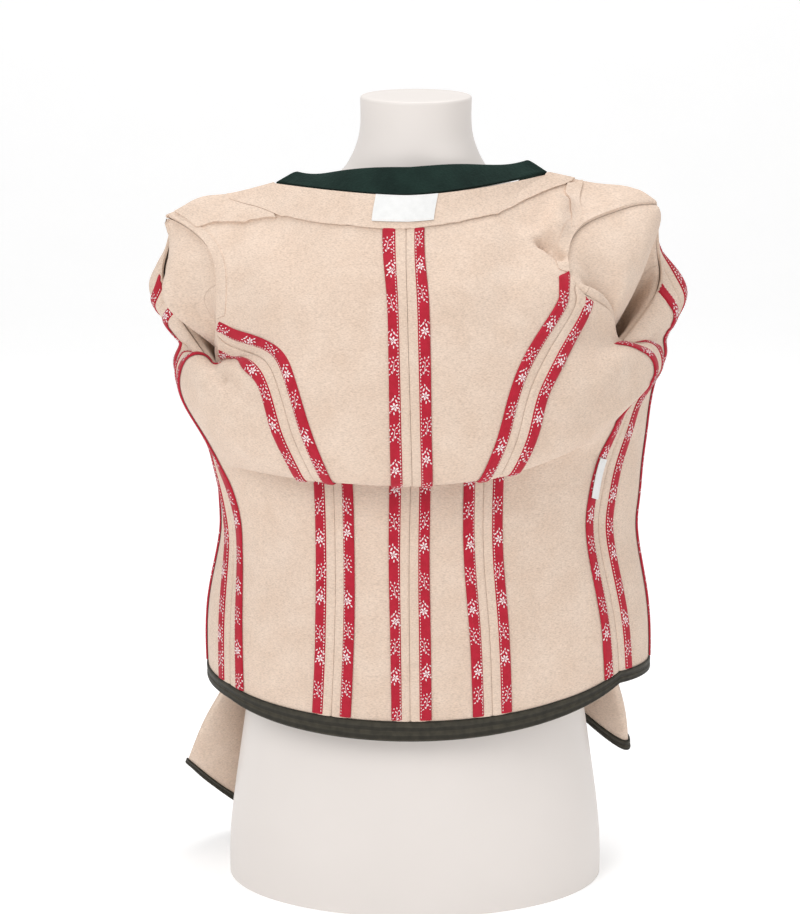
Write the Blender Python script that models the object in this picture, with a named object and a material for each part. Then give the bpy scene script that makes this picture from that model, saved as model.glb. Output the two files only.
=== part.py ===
"""Boiled-wool jacket, inside out, on a limbless dress form.

The jacket's back faces -Y. Two families of curves carry all the cloth: the sections, which run across
the back or a front from its edge to its middle, and the length v, from the hem (0) to the shoulders (1).
Left is -X and right is +X. Tables are in millimetres and degrees, everything else is in metres.
"""
import math

import bmesh
import bpy
import numpy as np

MM = 0.001

# Cloth, bindings, collar and labels
CLOTH = 2.0 * MM
SLEEVE_CLOTH = 1.8 * MM
SEAM_GAP = 0.3 * MM
FACING_CLOTH = 1.5 * MM
FACING_FLOAT = 0.5 * MM
COLLAR_CLOTH = 3.0 * MM
TAPE_INNER = 8.0 * MM
TAPE_OUTER = 18.0 * MM
TAPE_FLOAT = 1.1 * MM
TAPE_THICK = 1.4 * MM
HEM_BAND_WIDTH = 14.0 * MM
CUFF_BAND_WIDTH = 8.0 * MM
BAND_THICK = 1.4 * MM
BAND_FLOAT = 0.4 * MM
LABEL_THICK = 0.6 * MM
BAND_CLEAR = 1.5 * MM
TAPE_FACING_GAP = 1.5 * MM
COLLAR_ROWS = (0.0, 0.5, 1.0)
LABEL_ROWS = 4
LABEL_COLUMNS = 5

# A tape stops this share of a section short of its end, and never turns flatter to the section than this
TAPE_END = 0.004
LEVEL_LEAST = 0.7

# The front tapes use every second row of their panel below the fold
FRONT_TAPE_ROWS = 2

# The facings leave out this many columns beside the armhole, and this many rows above the hem
FACING_SKIP = 2
FACING_LOW_ROWS = 2

# How far below its seam's end a side panel is cut off, as a share of the length
PANEL_TIP = 0.004

# Steps for slopes and tangents along the length v, and how near two places count as the same
SLOPE_STEP = 1e-3
TANGENT_STEP = 1e-4
SAME = 1e-6

# Steepest run of a seam across its sections, and how near to the widest place a front may start
STEEPEST_SEAM = 12.0
FULLEST = 0.998

# Sleeve head: it leaves the armhole in the cloth's own direction, rolls in and drops to the throat
CAP_ROLL = 3.0 * MM
CAP_SINK = 0.5 * MM
UNDER_SLEEVE_SHARE = 0.4
THROAT_STEPS = 6

# Cloth this close to a side or shoulder seam, as a share of its section, turns with its neighbour
SEAM_REACH = 0.005

# Share of a section that runs along the shoulder seam, from the armhole to the neck
SHOULDER_SHARE = 0.45

# How the back of the neck rounds: 1 would be straight, 2 a parabola
NECK_BEND = 1.5

# Back: one row for each section, from the hem up to the shoulders.
# middle = centre back, left and right = side seam, then armhole edge above the underarm.
# turn = how far the section has rounded when it meets that edge, steps = mesh rows up to the next section.
BACK_COLUMNS = ("middle_x middle_y middle_z left_x left_y left_z left_turn "
                "right_x right_y right_z right_turn steps").split()
BACK_SECTIONS = {
    "hem":      (-5, -130, 177, -169, -70, 196, 61, 186, -70, 211, 59, 4),
    "skirt":    (-6, -134, 285, -168, -62, 277, 62, 178, -70, 285, 57, 3),
    "waist":    (-6, -133, 365, -165, -46, 334, 68, 165, -64, 352, 55, 2),
    "tuck_in":  (-5, -133, 425, -168, -46, 362, 70, 167, -65, 385, 55, 2),
    "tuck_top": (-5, -143, 458, -173, -45, 384, 74, 174, -65, 420, 57, 2),
    "fold_in":  (-5, -156, 440, -178, -43, 403, 78, 184, -64, 450, 60, 2),
    "lip":      (-4, -166, 424, -184, -41, 422, 80, 193, -60, 474, 63, 2),
    "lip_out":  (-4, -175, 436, -196, -37, 446, 82, 206, -48, 487, 68, 2),
    "bulge":    (-5, -175, 472, -214, -32, 484, 85, 219, -32, 497, 75, 2),
    "roll":     (-6, -171, 508, -206, -40, 511, 80, 211, -36, 517, 75, 2),
    "underarm": (-7, -163, 540, -182, -54, 505, 70, 184, -52, 525, 70, 3),
    "armhole":  (-8, -148, 577, -175, -80, 538, 58, 173, -75, 556, 58, 3),
    "blade":    (-9, -127, 610, -178, -60, 596, 50, 139, -97, 586, 45, 3),
    "cap":      (-9, -105, 638, -199, -22, 619, 50, 143, -56, 627, 45, 2),
    "top":      (-9, -86, 662, -227, 0, 634, 60, 216, 0, 639, 60, 1),
}

# Front: widest half width on each side, depth of the widest place, and the centre front edge.
FRONT_COLUMNS = "left_half right_half widest_y middle_y middle_z".split()
FRONT_SECTIONS = {
    "hem":      (192, 217, -12, 142, 206),
    "skirt":    (190, 213, -8, 146, 280),
    "waist":    (179, 203, -5, 134, 340),
    "tuck_in":  (179, 205, -5, 134, 368),
    "tuck_top": (181, 207, -5, 136, 394),
    "fold_in":  (185, 210, -4, 138, 418),
    "lip":      (190, 213, 0, 141, 442),
    "lip_out":  (200, 217, 2, 145, 464),
    "bulge":    (217, 224, 5, 149, 488),
    "roll":     (218, 229, 15, 152, 506),
    "underarm": (224, 238, 30, 152, 530),
    "armhole":  (247, 250, 42, 146, 556),
    "blade":    (235, 229, 40, 136, 578),
    "cap":      (230, 222, 28, 130, 590),
    "top":      (229, 218, 6, 126, 598),
}
ARMHOLE_FRONT_COLUMNS = "left_x left_y left_z right_x right_y right_z".split()
ARMHOLE_FRONT = {
    "armhole":  (-226, 14, 552, 219, 12, 556),
    "blade":    (-228, 20, 594, 222, 20, 592),
    "cap":      (-223, 12, 622, 219, 12, 624),
}

# Shoulder seam and neck, for each side: x, y, z of the seam's middle, then x, y, z of the neck point.
SHOULDER_SEAM = {"left": (-177, 0, 646, -126, -16, 662), "right": (166, 0, 657, 118, -14, 671)}

# Princess seams: place across the section (0 at the centre, 1 at the edge) at each back section,
# and from the edge (0) to the centre front (1) at each front section.
PRINCESS_TOP = {
    "back_left": "armhole",
    "back_right": "blade",
    "front_left": "armhole",
    "front_right": "blade",
}
PRINCESS_COLUMNS = "back_left back_right front_left front_right".split()
PRINCESS = {
    "hem":      (0.37, 0.33, 0.28, 0.27),
    "skirt":    (0.34, 0.33, 0.277, 0.282),
    "waist":    (0.33, 0.33, 0.257, 0.30),
    "tuck_in":  (0.33, 0.325, 0.25, 0.305),
    "tuck_top": (0.33, 0.32, 0.236, 0.294),
    "fold_in":  (0.335, 0.315, 0.23, 0.273),
    "lip":      (0.34, 0.31, 0.208, 0.242),
    "lip_out":  (0.34, 0.31, 0.176, 0.21),
    "bulge":    (0.35, 0.32, 0.148, 0.17),
    "roll":     (0.43, 0.375, 0.182, 0.22),
    "underarm": (0.635, 0.53, 0.26, 0.27),
    "armhole":  (1.00, 0.74, 0.00, 0.10),
    "blade":    (1.00, 1.00, -0.33, 0.00),
}

# Sections where the two tapes of each princess seam end, on the centre side and on the outer side
TAPE_TOPS = {
    "back_left": ("armhole", "underarm"),
    "back_right": ("blade", "armhole"),
    "front_left": ("underarm", "roll"),
    "front_right": ("underarm", "roll"),
}

# Sleeves: flattened rings from the throat, inside the body, down to the cuff.
# heading = direction of the long half axis seen from above, bow = how far its ends bend round the form,
# tilt = rise of the ring along it, curl = how far its two ends rise above its middle.
# Columns: centre_x centre_y centre_z long thin heading bow tilt curl.
SLEEVE_RINGS = {
    "left": (
        (-169, -18, 452, 58, 18, 100, 17, 0, 0),
        (-155, -3, 380, 57, 16, 92, 18, 0, 0),
        (-156, 16, 310, 56, 15, 80, 18, 0, 0),
        (-160, 37, 245, 56, 13, 67, 16, 0, 0),
        (-152, 55, 195, 57, 9, 55, 14, 0, 0),
        (-158, 70, 122, 59, 13, 42, 7, -16, 6),
        (-166, 84, 30, 62, 16, 30, 0, -32, 17),
    ),
    "right": (
        (172, -24, 458, 58, 19, 77, 17, 0, 0),
        (162, -6, 390, 57, 17, 87, 17, 0, 0),
        (160, 17, 325, 56, 16, 100, 17, 0, 0),
        (164, 38, 260, 56, 15, 112, 16, 0, 0),
        (163, 59, 206, 56, 13, 124, 13, 8, 0),
        (161, 70, 174, 57, 14, 136, 6, 20, 0),
        (157, 77, 143, 58, 15, 146, 0, 34, 0),
    ),
}

# Sleeve head: place round the armhole from the underarm up the back, how deep under the armhole's edge the
# cloth starts, how far it goes on past the edge and sinks as it turns in, and how straight it drops then.
HEAD_COLUMNS = "place under lead sink drop".split()
SLEEVE_HEAD = {
    "left": {
        "underarm":  (0.0, 4.5, 4, 13, 25),
        "low_back":  (0.08, 2.2, 20, 8, 45),
        "mid_back":  (0.19, 2.2, 20, 13, 62),
        "back":      (0.31, 2.2, 100, 10, 110),
        "cap":       (0.4, 2.2, 130, 10, 100),
        "shoulder":  (0.46, 2.2, 75, 10, 60),
        "tip":       (0.52, 7.0, 4, 22, 90),
        "front_top": (0.56, 8.0, 0, 26, 80),
        "front":     (0.75, 4.0, 3, 18, 60),
        "low_front": (0.9, 4.0, 0, 14, 30),
    },
    "right": {
        "underarm":  (0.0, 3.0, 5, 10, 25),
        "low_back":  (0.1, 2.2, 5, 15, 30),
        "back":      (0.22, 2.2, 8, 15, 40),
        "high_back": (0.32, 2.2, 35, 16, 90),
        "cap":       (0.41, 2.2, 110, 10, 95),
        "shoulder":  (0.54, 2.2, 80, 10, 60),
        "tip":       (0.585, 2.2, 12, 12, 60),
        "front_top": (0.63, 2.2, 2, 15, 50),
        "front":     (0.8, 2.2, 3, 14, 40),
        "low_front": (0.92, 2.2, 4, 12, 30),
    },
}

# Collar: place along the neck edge from the left front edge, how far it rises there and leans to the neck.
COLLAR_COLUMNS = "place rise lean".split()
COLLAR = {
    "front_left":  (0.0, 20, 12),
    "neck_left":   (0.29, 5, 20),
    "centre_back": (0.5, 21, 16),
    "neck_right":  (0.71, 5, 20),
    "front_right": (1.0, 20, 12),
}

# Dress form, one ring after another: height, half width, half depth and how far forward its middle lies.
FORM_SIDES = 32
FORM_RINGS = (
    (0, 177, 120, 0), (20, 177, 120, 0), (70, 173, 119, 0), (120, 166, 115, 0), (180, 157, 109, 0),
    (240, 146, 103, 0), (300, 134, 98, 0), (355, 127, 95, 0), (410, 132, 99, 0), (460, 142, 104, 0),
    (510, 152, 103, 0), (555, 162, 94, -3), (590, 166, 83, -7), (612, 163, 74, -9), (628, 152, 66, -10),
    (640, 132, 59, -11), (649, 115, 54, -11), (656, 100, 53, -9), (663, 84, 53, -7), (672, 68, 53, -4),
    (688, 57, 52, -1), (706, 51, 50, 0), (738, 50, 50, 0), (740, 49, 49, 0),
)

# Labels: where they lie on the back
NECK_LABEL_WIDTH = 52.0 * MM
NECK_LABEL_HEIGHT = 24.0 * MM
NECK_LABEL_SHIFT = 1.0 * MM
CARE_LABEL_WIDTH = 9.0 * MM
CARE_LABEL_LENGTH = 38.0 * MM
CARE_LABEL_PLACE = 0.93

COLOURS = {
    "wool": ((0.79, 0.66, 0.52, 1.0), 0.95),
    "red_tape": ((0.55, 0.02, 0.05, 1.0), 0.7),
    "dark_band": ((0.045, 0.042, 0.032, 1.0), 0.9),
    "dark_collar": ((0.012, 0.028, 0.022, 1.0), 0.95),
    "label": ((0.85, 0.85, 0.83, 1.0), 0.6),
    "form": ((0.84, 0.80, 0.77, 1.0), 0.35),
}

SIDES = {"left": -1.0, "right": 1.0}
NAMES = list(BACK_SECTIONS)


def column_values(table, columns, names, wanted):
    """Pick the wanted columns of a table as an array with one row for each name."""
    return np.array([[table[name][columns.index(column)] for column in wanted] for name in names], float)


def unit(vectors):
    """Vectors scaled to length one."""
    return vectors / np.linalg.norm(vectors, axis=-1, keepdims=True)


def natural_spline(knots, values):
    """Function that gives the natural cubic spline through the rows of values at the knots."""
    knots = np.asarray(knots, float)
    values = np.asarray(values, float)
    count = len(knots)
    spans = np.diff(knots)
    matrix = np.eye(count)
    right_side = np.zeros_like(values)
    for k in range(1, count - 1):
        matrix[k, k - 1:k + 2] = spans[k - 1], 2.0 * (spans[k - 1] + spans[k]), spans[k]
        slope_after = (values[k + 1] - values[k]) / spans[k]
        slope_before = (values[k] - values[k - 1]) / spans[k - 1]
        right_side[k] = 6.0 * (slope_after - slope_before)
    bends = np.linalg.solve(matrix, right_side)

    def at(place):
        place = np.clip(np.asarray(place, float), knots[0], knots[-1])
        k = np.clip(np.searchsorted(knots, place, side="right") - 1, 0, count - 2)
        span = spans[k][..., None]
        before = ((knots[k + 1] - place) / spans[k])[..., None]
        after = 1.0 - before
        bend = (before ** 3 - before) * bends[k] + (after ** 3 - after) * bends[k + 1]
        return before * values[k] + after * values[k + 1] + bend * span ** 2 / 6.0

    return at


# The length v at each section: mean distance along the middle and both edges
BACK_VALUES = column_values(BACK_SECTIONS, BACK_COLUMNS, NAMES, BACK_COLUMNS[:-1])
PLACE_COLUMNS = [name for name in BACK_COLUMNS if name[-2:] in ("_x", "_y", "_z")]
BACK_LINES = column_values(BACK_SECTIONS, BACK_COLUMNS, NAMES, PLACE_COLUMNS).reshape(len(NAMES), -1, 3)
LENGTHS = np.linalg.norm(np.diff(BACK_LINES, axis=0), axis=2).mean(axis=1)
BACK_LENGTH = LENGTHS.sum() * MM
KNOTS = np.concatenate([[0.0], np.cumsum(LENGTHS)]) / LENGTHS.sum()
V = dict(zip(NAMES, KNOTS))
BACK_AT = natural_spline(KNOTS, BACK_VALUES)
FRONT_AT = natural_spline(KNOTS, column_values(FRONT_SECTIONS, FRONT_COLUMNS, NAMES, FRONT_COLUMNS))
PRINCESS_NAMES = list(PRINCESS)
PRINCESS_AT = natural_spline([V[name] for name in PRINCESS_NAMES],
                             column_values(PRINCESS, PRINCESS_COLUMNS, PRINCESS_NAMES, PRINCESS_COLUMNS))
BAND_V = HEM_BAND_WIDTH / BACK_LENGTH


def shoulder_pull(v):
    """How far a section is drawn towards the shoulder and neck line: 0 at the underarm, 1 at the top."""
    return np.clip((v - V["underarm"]) / (1.0 - V["underarm"]), 0.0, 1.0)[..., None] ** 2


def edge_columns(side):
    """Column numbers of one side's edge point in the back table."""
    return [BACK_COLUMNS.index(f"{side}_{axis}") for axis in "xyz"]


def armhole_front_spline(side):
    """Front edge of the armhole, from the underarm up to the shoulder seam."""
    wanted = [f"{side}_{axis}" for axis in "xyz"]
    names = ["underarm", *ARMHOLE_FRONT, "top"]
    inner = column_values(ARMHOLE_FRONT, ARMHOLE_FRONT_COLUMNS, list(ARMHOLE_FRONT), wanted)
    ends = column_values(BACK_SECTIONS, BACK_COLUMNS, ["underarm", "top"], wanted)
    return natural_spline([V[name] for name in names], np.vstack([ends[:1], inner, ends[1:]]))


ARMHOLE_FRONT_AT = {side: armhole_front_spline(side) for side in SIDES}


def shoulder_line(side, share):
    """Shoulder seam from the armhole (0) to the neck point (1): a parabola through its middle."""
    tip = column_values(BACK_SECTIONS, BACK_COLUMNS, ["top"], [f"{side}_{axis}" for axis in "xyz"])[0]
    middle = np.array(SHOULDER_SEAM[side][:3], float)
    neck = np.array(SHOULDER_SEAM[side][3:], float)
    q = np.asarray(share, float)[..., None]
    return tip * (1 - q) * (1 - 2 * q) + middle * 4 * q * (1 - q) + neck * q * (2 * q - 1)


def quarter_round(start, end, share):
    """Quarter of an ellipse in plan from start to end, leaving start along X and reaching end along Y."""
    angle = np.asarray(share, float) * math.pi / 2
    across = np.sin(angle)
    away = 1.0 - np.cos(angle)
    x = start[0] + (end[0] - start[0]) * across
    y = start[1] + (end[1] - start[1]) * away
    z = start[2] + (end[2] - start[2]) * away
    return np.stack([x, y, z], axis=-1)


def neck_curve(start, end, share):
    """Neck line from the centre back to a neck point: straight in X, easing off in depth and height."""
    share = np.asarray(share, float)[..., None]
    blend = np.concatenate([share, share ** NECK_BEND, share ** NECK_BEND], axis=-1)
    return np.asarray(start, float) + (np.asarray(end, float) - start) * blend


def back_top(s):
    """Upper edge of the back: shoulder seams outside, neck between them."""
    neck = column_values(BACK_SECTIONS, BACK_COLUMNS, ["top"], ["middle_x", "middle_y", "middle_z"])[0]
    reach = np.abs(s)
    points = np.zeros(np.shape(s) + (3,))
    for side, sign in SIDES.items():
        here = s * sign >= 0
        seam = shoulder_line(side, np.clip((1.0 - reach) / SHOULDER_SHARE, 0, 1))
        curve = neck_curve(neck, SHOULDER_SEAM[side][3:], np.clip(reach / (1.0 - SHOULDER_SHARE), 0, 1))
        on_seam = (reach > 1.0 - SHOULDER_SHARE)[..., None]
        points = np.where(here[..., None], np.where(on_seam, seam, curve), points)
    return points


def back_arc(s, values):
    """Section of the back as an elliptic arc through its middle and its two edges."""
    columns = dict(zip(BACK_COLUMNS, np.moveaxis(values, -1, 0)))
    middle_x, middle_y, middle_z = (columns[f"middle_{axis}"] for axis in "xyz")
    edge_x, edge_y, edge_z, turn = (np.where(s < 0, columns[f"left_{name}"], columns[f"right_{name}"])
                                    for name in ("x", "y", "z", "turn"))
    turn = np.radians(turn)
    angle = np.abs(s) * turn
    x = middle_x + (edge_x - middle_x) * np.sin(angle) / np.sin(turn)
    y = middle_y + (edge_y - middle_y) * (1 - np.cos(angle)) / (1 - np.cos(turn))
    z = middle_z + (edge_z - middle_z) * s * s
    return np.stack([x, y, z], axis=-1)


def back_sheet(s, v):
    """Middle surface of the back: s from -1 (left edge) to 1 (right edge), v from hem to shoulder."""
    s, v = np.broadcast_arrays(np.asarray(s, float), np.asarray(v, float))
    rising = shoulder_pull(v)
    correction = back_top(s) - back_arc(s, BACK_AT(np.ones_like(v)))
    return (back_arc(s, BACK_AT(v)) + rising * correction) * MM


def front_top(side, s):
    """Upper edge of a front: shoulder seam, then the neck down to the centre front."""
    neck_point = np.array(SHOULDER_SEAM[side][3:], float)
    low = np.array([0.0, FRONT_SECTIONS["top"][3], FRONT_SECTIONS["top"][4]])
    seam = shoulder_line(side, np.clip(s / SHOULDER_SHARE, 0, 1))
    share = np.clip((s - SHOULDER_SHARE) / (1.0 - SHOULDER_SHARE), 0, 1)
    curve = quarter_round(low, neck_point, 1.0 - share)
    return np.where((s > SHOULDER_SHARE)[..., None], curve, seam)


def front_arc(side, s, edge, values):
    """Section of a front: an elliptic arc from its edge round the widest place to the centre front."""
    half = values[..., FRONT_COLUMNS.index(f"{side}_half")]
    widest_y, middle_y, middle_z = (values[..., FRONT_COLUMNS.index(name)] for name in FRONT_COLUMNS[2:])
    start = np.arcsin(np.clip(np.abs(edge[..., 0]) / half, 0.0, FULLEST))
    angle = start + (math.pi - start) * s
    near = (widest_y - edge[..., 1]) / np.cos(start)
    far = middle_y - widest_y
    x = SIDES[side] * np.abs(edge[..., 0]) / np.sin(start) * np.sin(angle)
    y = widest_y - np.where(angle < math.pi / 2, near, far) * np.cos(angle)
    z = edge[..., 2] + (middle_z - edge[..., 2]) * (1.0 - (1.0 - s) ** 3)
    return np.stack([x, y, z], axis=-1)


def front_sheet(side, s, v):
    """Middle surface of a front: s from 0 (side seam or armhole) to 1 (centre front)."""
    s, v = np.broadcast_arrays(np.asarray(s, float), np.asarray(v, float))
    below = (v <= V["underarm"])[..., None]
    edge = np.where(below, BACK_AT(v)[..., edge_columns(side)], ARMHOLE_FRONT_AT[side](v))
    top = np.ones_like(v)
    rising = shoulder_pull(v)
    correction = front_top(side, s) - front_arc(side, s, ARMHOLE_FRONT_AT[side](top), FRONT_AT(top))
    return (front_arc(side, s, edge, FRONT_AT(v)) + rising * correction) * MM


def frame_of(sheet, s, v, sign):
    """Points, outward normals and the two tangents of a sheet, the tangents by small differences."""
    step = TANGENT_STEP
    inside_s = np.clip(s, -1 + step, 1 - step)
    inside_v = np.clip(v, step, 1 - step)
    along_s = (sheet(inside_s + step, inside_v) - sheet(inside_s - step, inside_v)) / (2 * step)
    along_v = (sheet(inside_s, inside_v + step) - sheet(inside_s, inside_v - step)) / (2 * step)
    return sheet(s, v), sign * unit(np.cross(along_s, along_v)), along_s, along_v


class Back:
    """The back as a surface with outward normals, shared with the fronts at the side and shoulder seams."""

    sign = 1.0
    low, high = -1.0, 1.0

    def frame(self, s, v):
        points, normals, along_s, along_v = frame_of(back_sheet, s, v, self.sign)
        for side, sign in SIDES.items():
            seam = (s * sign > 1.0 - SEAM_REACH) & (v <= V["underarm"] + SAME)
            normals = share_normals(normals, seam, front_of(side), np.zeros_like(s), v)
            shoulder = (v > 1.0 - SEAM_REACH) & (s * sign > 1.0 - SHOULDER_SHARE - SEAM_REACH)
            normals = share_normals(normals, shoulder, front_of(side), 1.0 - np.abs(s), v)
        return points, normals, along_s, along_v

    def plain_normals(self, s, v):
        return frame_of(back_sheet, s, v, self.sign)[1]


class Front:
    """One front as a surface with outward normals."""

    low, high = 0.0, 1.0

    def __init__(self, side):
        self.side = side
        self.sign = SIDES[side]

    def sheet(self, s, v):
        return front_sheet(self.side, s, v)

    def frame(self, s, v):
        points, normals, along_s, along_v = frame_of(self.sheet, s, v, self.sign)
        seam = (s < SEAM_REACH) & (v <= V["underarm"] + SAME)
        normals = share_normals(normals, seam, BACK, np.full_like(s, self.sign), v)
        shoulder = (v > 1.0 - SEAM_REACH) & (s < SHOULDER_SHARE + SEAM_REACH)
        normals = share_normals(normals, shoulder, BACK, self.sign * (1.0 - s), v)
        return points, normals, along_s, along_v

    def plain_normals(self, s, v):
        return frame_of(self.sheet, s, v, self.sign)[1]


def share_normals(normals, where, other, s, v):
    """Mean of this sheet's normals and its neighbour's where the two are sewn together."""
    if not where.any():
        return normals
    mean = unit(normals + other.plain_normals(s, v))
    return np.where(where[..., None], mean, normals)


BACK = Back()
FRONTS = {side: Front(side) for side in SIDES}


def front_of(side):
    """The front on one side."""
    return FRONTS[side]


def princess_place(seam, v):
    """Place of a princess seam across its section."""
    k = PRINCESS_COLUMNS.index(seam)
    limit = V[PRINCESS_TOP[seam]]
    place = PRINCESS_AT(np.minimum(v, limit))[..., k]
    edge = 1.0 if seam.startswith("back") else 0.0
    place = np.where(v >= limit - SAME, edge, place)
    return -place if seam == "back_left" else place


def mesh_rows():
    """Values of v for the mesh rows of every panel."""
    rows = [0.0, BAND_V]
    for name, after in zip(NAMES[:-1], NAMES[1:]):
        start = BAND_V if name == "hem" else V[name]
        rows.extend(np.linspace(start, V[after], int(BACK_SECTIONS[name][-1]) + 1)[1:])
    rows.extend(V[name] - PANEL_TIP for name in set(PRINCESS_TOP.values()))
    return np.array(sorted(rows))


ROWS = mesh_rows()
TAPE_LOW = BAND_V + BAND_CLEAR / BACK_LENGTH
FACING_V = V["cap"]
TAPE_GAP_V = TAPE_FACING_GAP / BACK_LENGTH


def material(name):
    """Plain material with the colour and roughness of one finish."""
    colour, roughness = COLOURS[name]
    made = bpy.data.materials.get(name) or bpy.data.materials.new(name)
    made.use_nodes = True
    shader = made.node_tree.nodes["Principled BSDF"]
    shader.inputs["Base Color"].default_value = colour
    shader.inputs["Roughness"].default_value = roughness
    return made


def add_object(name, points, faces, finish):
    """New object from points and faces, with its faces turned outwards."""
    mesh = bpy.data.meshes.new(name)
    mesh.from_pydata([tuple(map(float, point)) for point in points], [], faces)
    work = bmesh.new()
    work.from_mesh(mesh)
    bmesh.ops.recalc_face_normals(work, faces=work.faces)
    if work.calc_volume(signed=True) < 0.0:
        bmesh.ops.reverse_faces(work, faces=work.faces)
    work.to_mesh(mesh)
    work.free()
    mesh.shade_smooth()
    mesh.materials.append(material(finish))
    made = bpy.data.objects.new(name, mesh)
    bpy.context.scene.collection.objects.link(made)
    return made


def add_wall(name, outer, inner, finish, cells=None, turned=False):
    """Closed wall between two grids of points; cells marks the grid cells that belong to it.

    A turned wall splits its upper rim the other way, to match the rim that it meets.
    """
    rows, columns = outer.shape[:2]
    cells = np.ones((rows - 1, columns - 1), bool) if cells is None else cells
    number = np.arange(rows * columns).reshape(rows, columns)
    back = number + rows * columns
    faces = []

    def rim(first, second):
        faces.append((back.flat[first], back.flat[second], second))
        faces.append((back.flat[first], second, first))

    def filled(i, j):
        return 0 <= i < rows - 1 and 0 <= j < columns - 1 and cells[i, j]

    for i, j in zip(*np.nonzero(cells)):
        a, b, c, d = number[i, j], number[i, j + 1], number[i + 1, j + 1], number[i + 1, j]
        faces.extend([(a, b, c), (a, c, d)])
        a_in, b_in, c_in, d_in = (back.flat[k] for k in (a, b, c, d))
        faces.extend([(c_in, b_in, a_in), (d_in, c_in, a_in)])
        if not filled(i - 1, j):
            rim(a, b)
        if not filled(i, j + 1):
            rim(b, c)
        if not filled(i + 1, j):
            rim(*((c, d) if turned else (d, c)))
        if not filled(i, j - 1):
            rim(a, d)
    points = np.concatenate([outer.reshape(-1, 3), inner.reshape(-1, 3)])
    used = sorted({int(k) for face in faces for k in face})
    renumber = {old: new for new, old in enumerate(used)}
    faces = [tuple(renumber[int(k)] for k in face) for face in faces]
    return add_object(name, points[used], faces, finish)


def add_loft(name, rings, finish, closed=False):
    """Solid through equal rings of points; an open loft gets a flat cap on each end."""
    count, size = rings.shape[:2]
    faces = []
    for i in range(count if closed else count - 1):
        after = (i + 1) % count
        for j in range(size):
            k = (j + 1) % size
            a, b, c, d = i * size + j, i * size + k, after * size + k, after * size + j
            faces.extend([(a, b, c), (a, c, d)])
    if not closed:
        faces.append(tuple(reversed(range(size))))
        faces.append(tuple(range((count - 1) * size, count * size)))
    return add_object(name, rings.reshape(-1, 3), faces, finish)


def seam_nudge(sheet, place_of, v, sign):
    """Places just beside a seam, half the seam gap away from it at right angles."""
    step = TANGENT_STEP
    s = place_of(v)
    slope = (place_of(np.minimum(v + step, 1.0)) - place_of(np.maximum(v - step, 0.0))) / (
        np.minimum(v + step, 1.0) - np.maximum(v - step, 0.0))
    slope = np.clip(slope, -STEEPEST_SEAM, STEEPEST_SEAM)
    _, _, along_s, along_v = sheet.frame(s, v)
    run = slope[:, None] * along_s + along_v
    spread = np.linalg.norm(np.cross(along_s, run), axis=1) / np.linalg.norm(run, axis=1)
    return s + sign * SEAM_GAP / 2 / spread


def panel_grid(sheet, low_of, high_of, shares, rows):
    """Grid of a panel between two seams: places across each row and the row values."""
    low, high = low_of(rows), high_of(rows)
    s = low[:, None] + (high - low)[:, None] * np.asarray(shares)[None, :]
    s[:, 0] = seam_nudge(sheet, low_of, rows, 1.0)
    s[:, -1] = seam_nudge(sheet, high_of, rows, -1.0)
    v = np.repeat(rows[:, None], len(shares), axis=1)
    s = np.clip(s, sheet.low, sheet.high)
    along_v = sheet.frame(s[-1], v[-1])[3]
    v[-1] -= SEAM_GAP / 2 / np.linalg.norm(along_v, axis=1)
    return s, v


def wall_from(sheet, s, v, out, into):
    """Outer and inner points of a layer on a sheet, at two distances along its normals."""
    points, normals, _, _ = sheet.frame(s, v)
    return points + normals * out, points + normals * into


def constant(value):
    """Seam place that is the same at every height."""
    return lambda v: np.full_like(np.asarray(v, float), value)


CENTRE_SHARES = (0.0, 0.16, 0.32, 0.45, 0.56, 0.67, 0.78, 0.89, 1.0)
SIDE_SHARES = (0.0, 0.25, 0.5, 0.75, 1.0)
FRONT_SHARES = (0.0, 0.16, 0.32, 0.45, 0.65, 0.83, 1.0)


class Panel:
    """One panel of the body: a wall of cloth on a grid of its sheet, which other pieces can lie on."""

    def __init__(self, name, sheet, ends, shares, rows):
        self.name = name
        self.sheet = sheet
        self.rows = rows
        self.s, self.v = panel_grid(sheet, *ends, shares, rows)
        self.points, self.normals, _, _ = sheet.frame(self.s, self.v)

    def build(self):
        turned = self.name == "back_centre_right"
        add_wall(self.name, self.layer(CLOTH / 2), self.layer(-CLOTH / 2), "wool", turned=turned)

    def layer(self, distance):
        """The panel's own points moved out along their normals."""
        return self.points + self.normals * distance

    def on_row(self, row, column):
        """Point and normal on the straight stretches between the points of one row."""
        values = np.concatenate([self.points[row], self.normals[row]], axis=1)
        return np.array([np.interp(column, np.arange(len(values)), series) for series in values.T])

    def lay(self, s, v, distances):
        """Points on the panel's flat facets at one place, moved out by each distance."""
        row = int(np.clip(np.searchsorted(self.rows, v + SAME, side="right") - 1, 0, len(self.rows) - 2))
        blend = np.clip((v - self.rows[row]) / (self.rows[row + 1] - self.rows[row]), 0.0, 1.0)
        places = self.s[row] * (1.0 - blend) + self.s[row + 1] * blend
        column = np.interp(s, places, np.arange(len(places)))
        value = self.on_row(row, column) * (1.0 - blend) + self.on_row(row + 1, column) * blend
        return [value[:3] + unit(value[3:]) * distance for distance in distances]


def princess_of(seam):
    """Seam place of one princess seam as a function of the length."""
    return lambda v: princess_place(seam, np.asarray(v, float))


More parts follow.
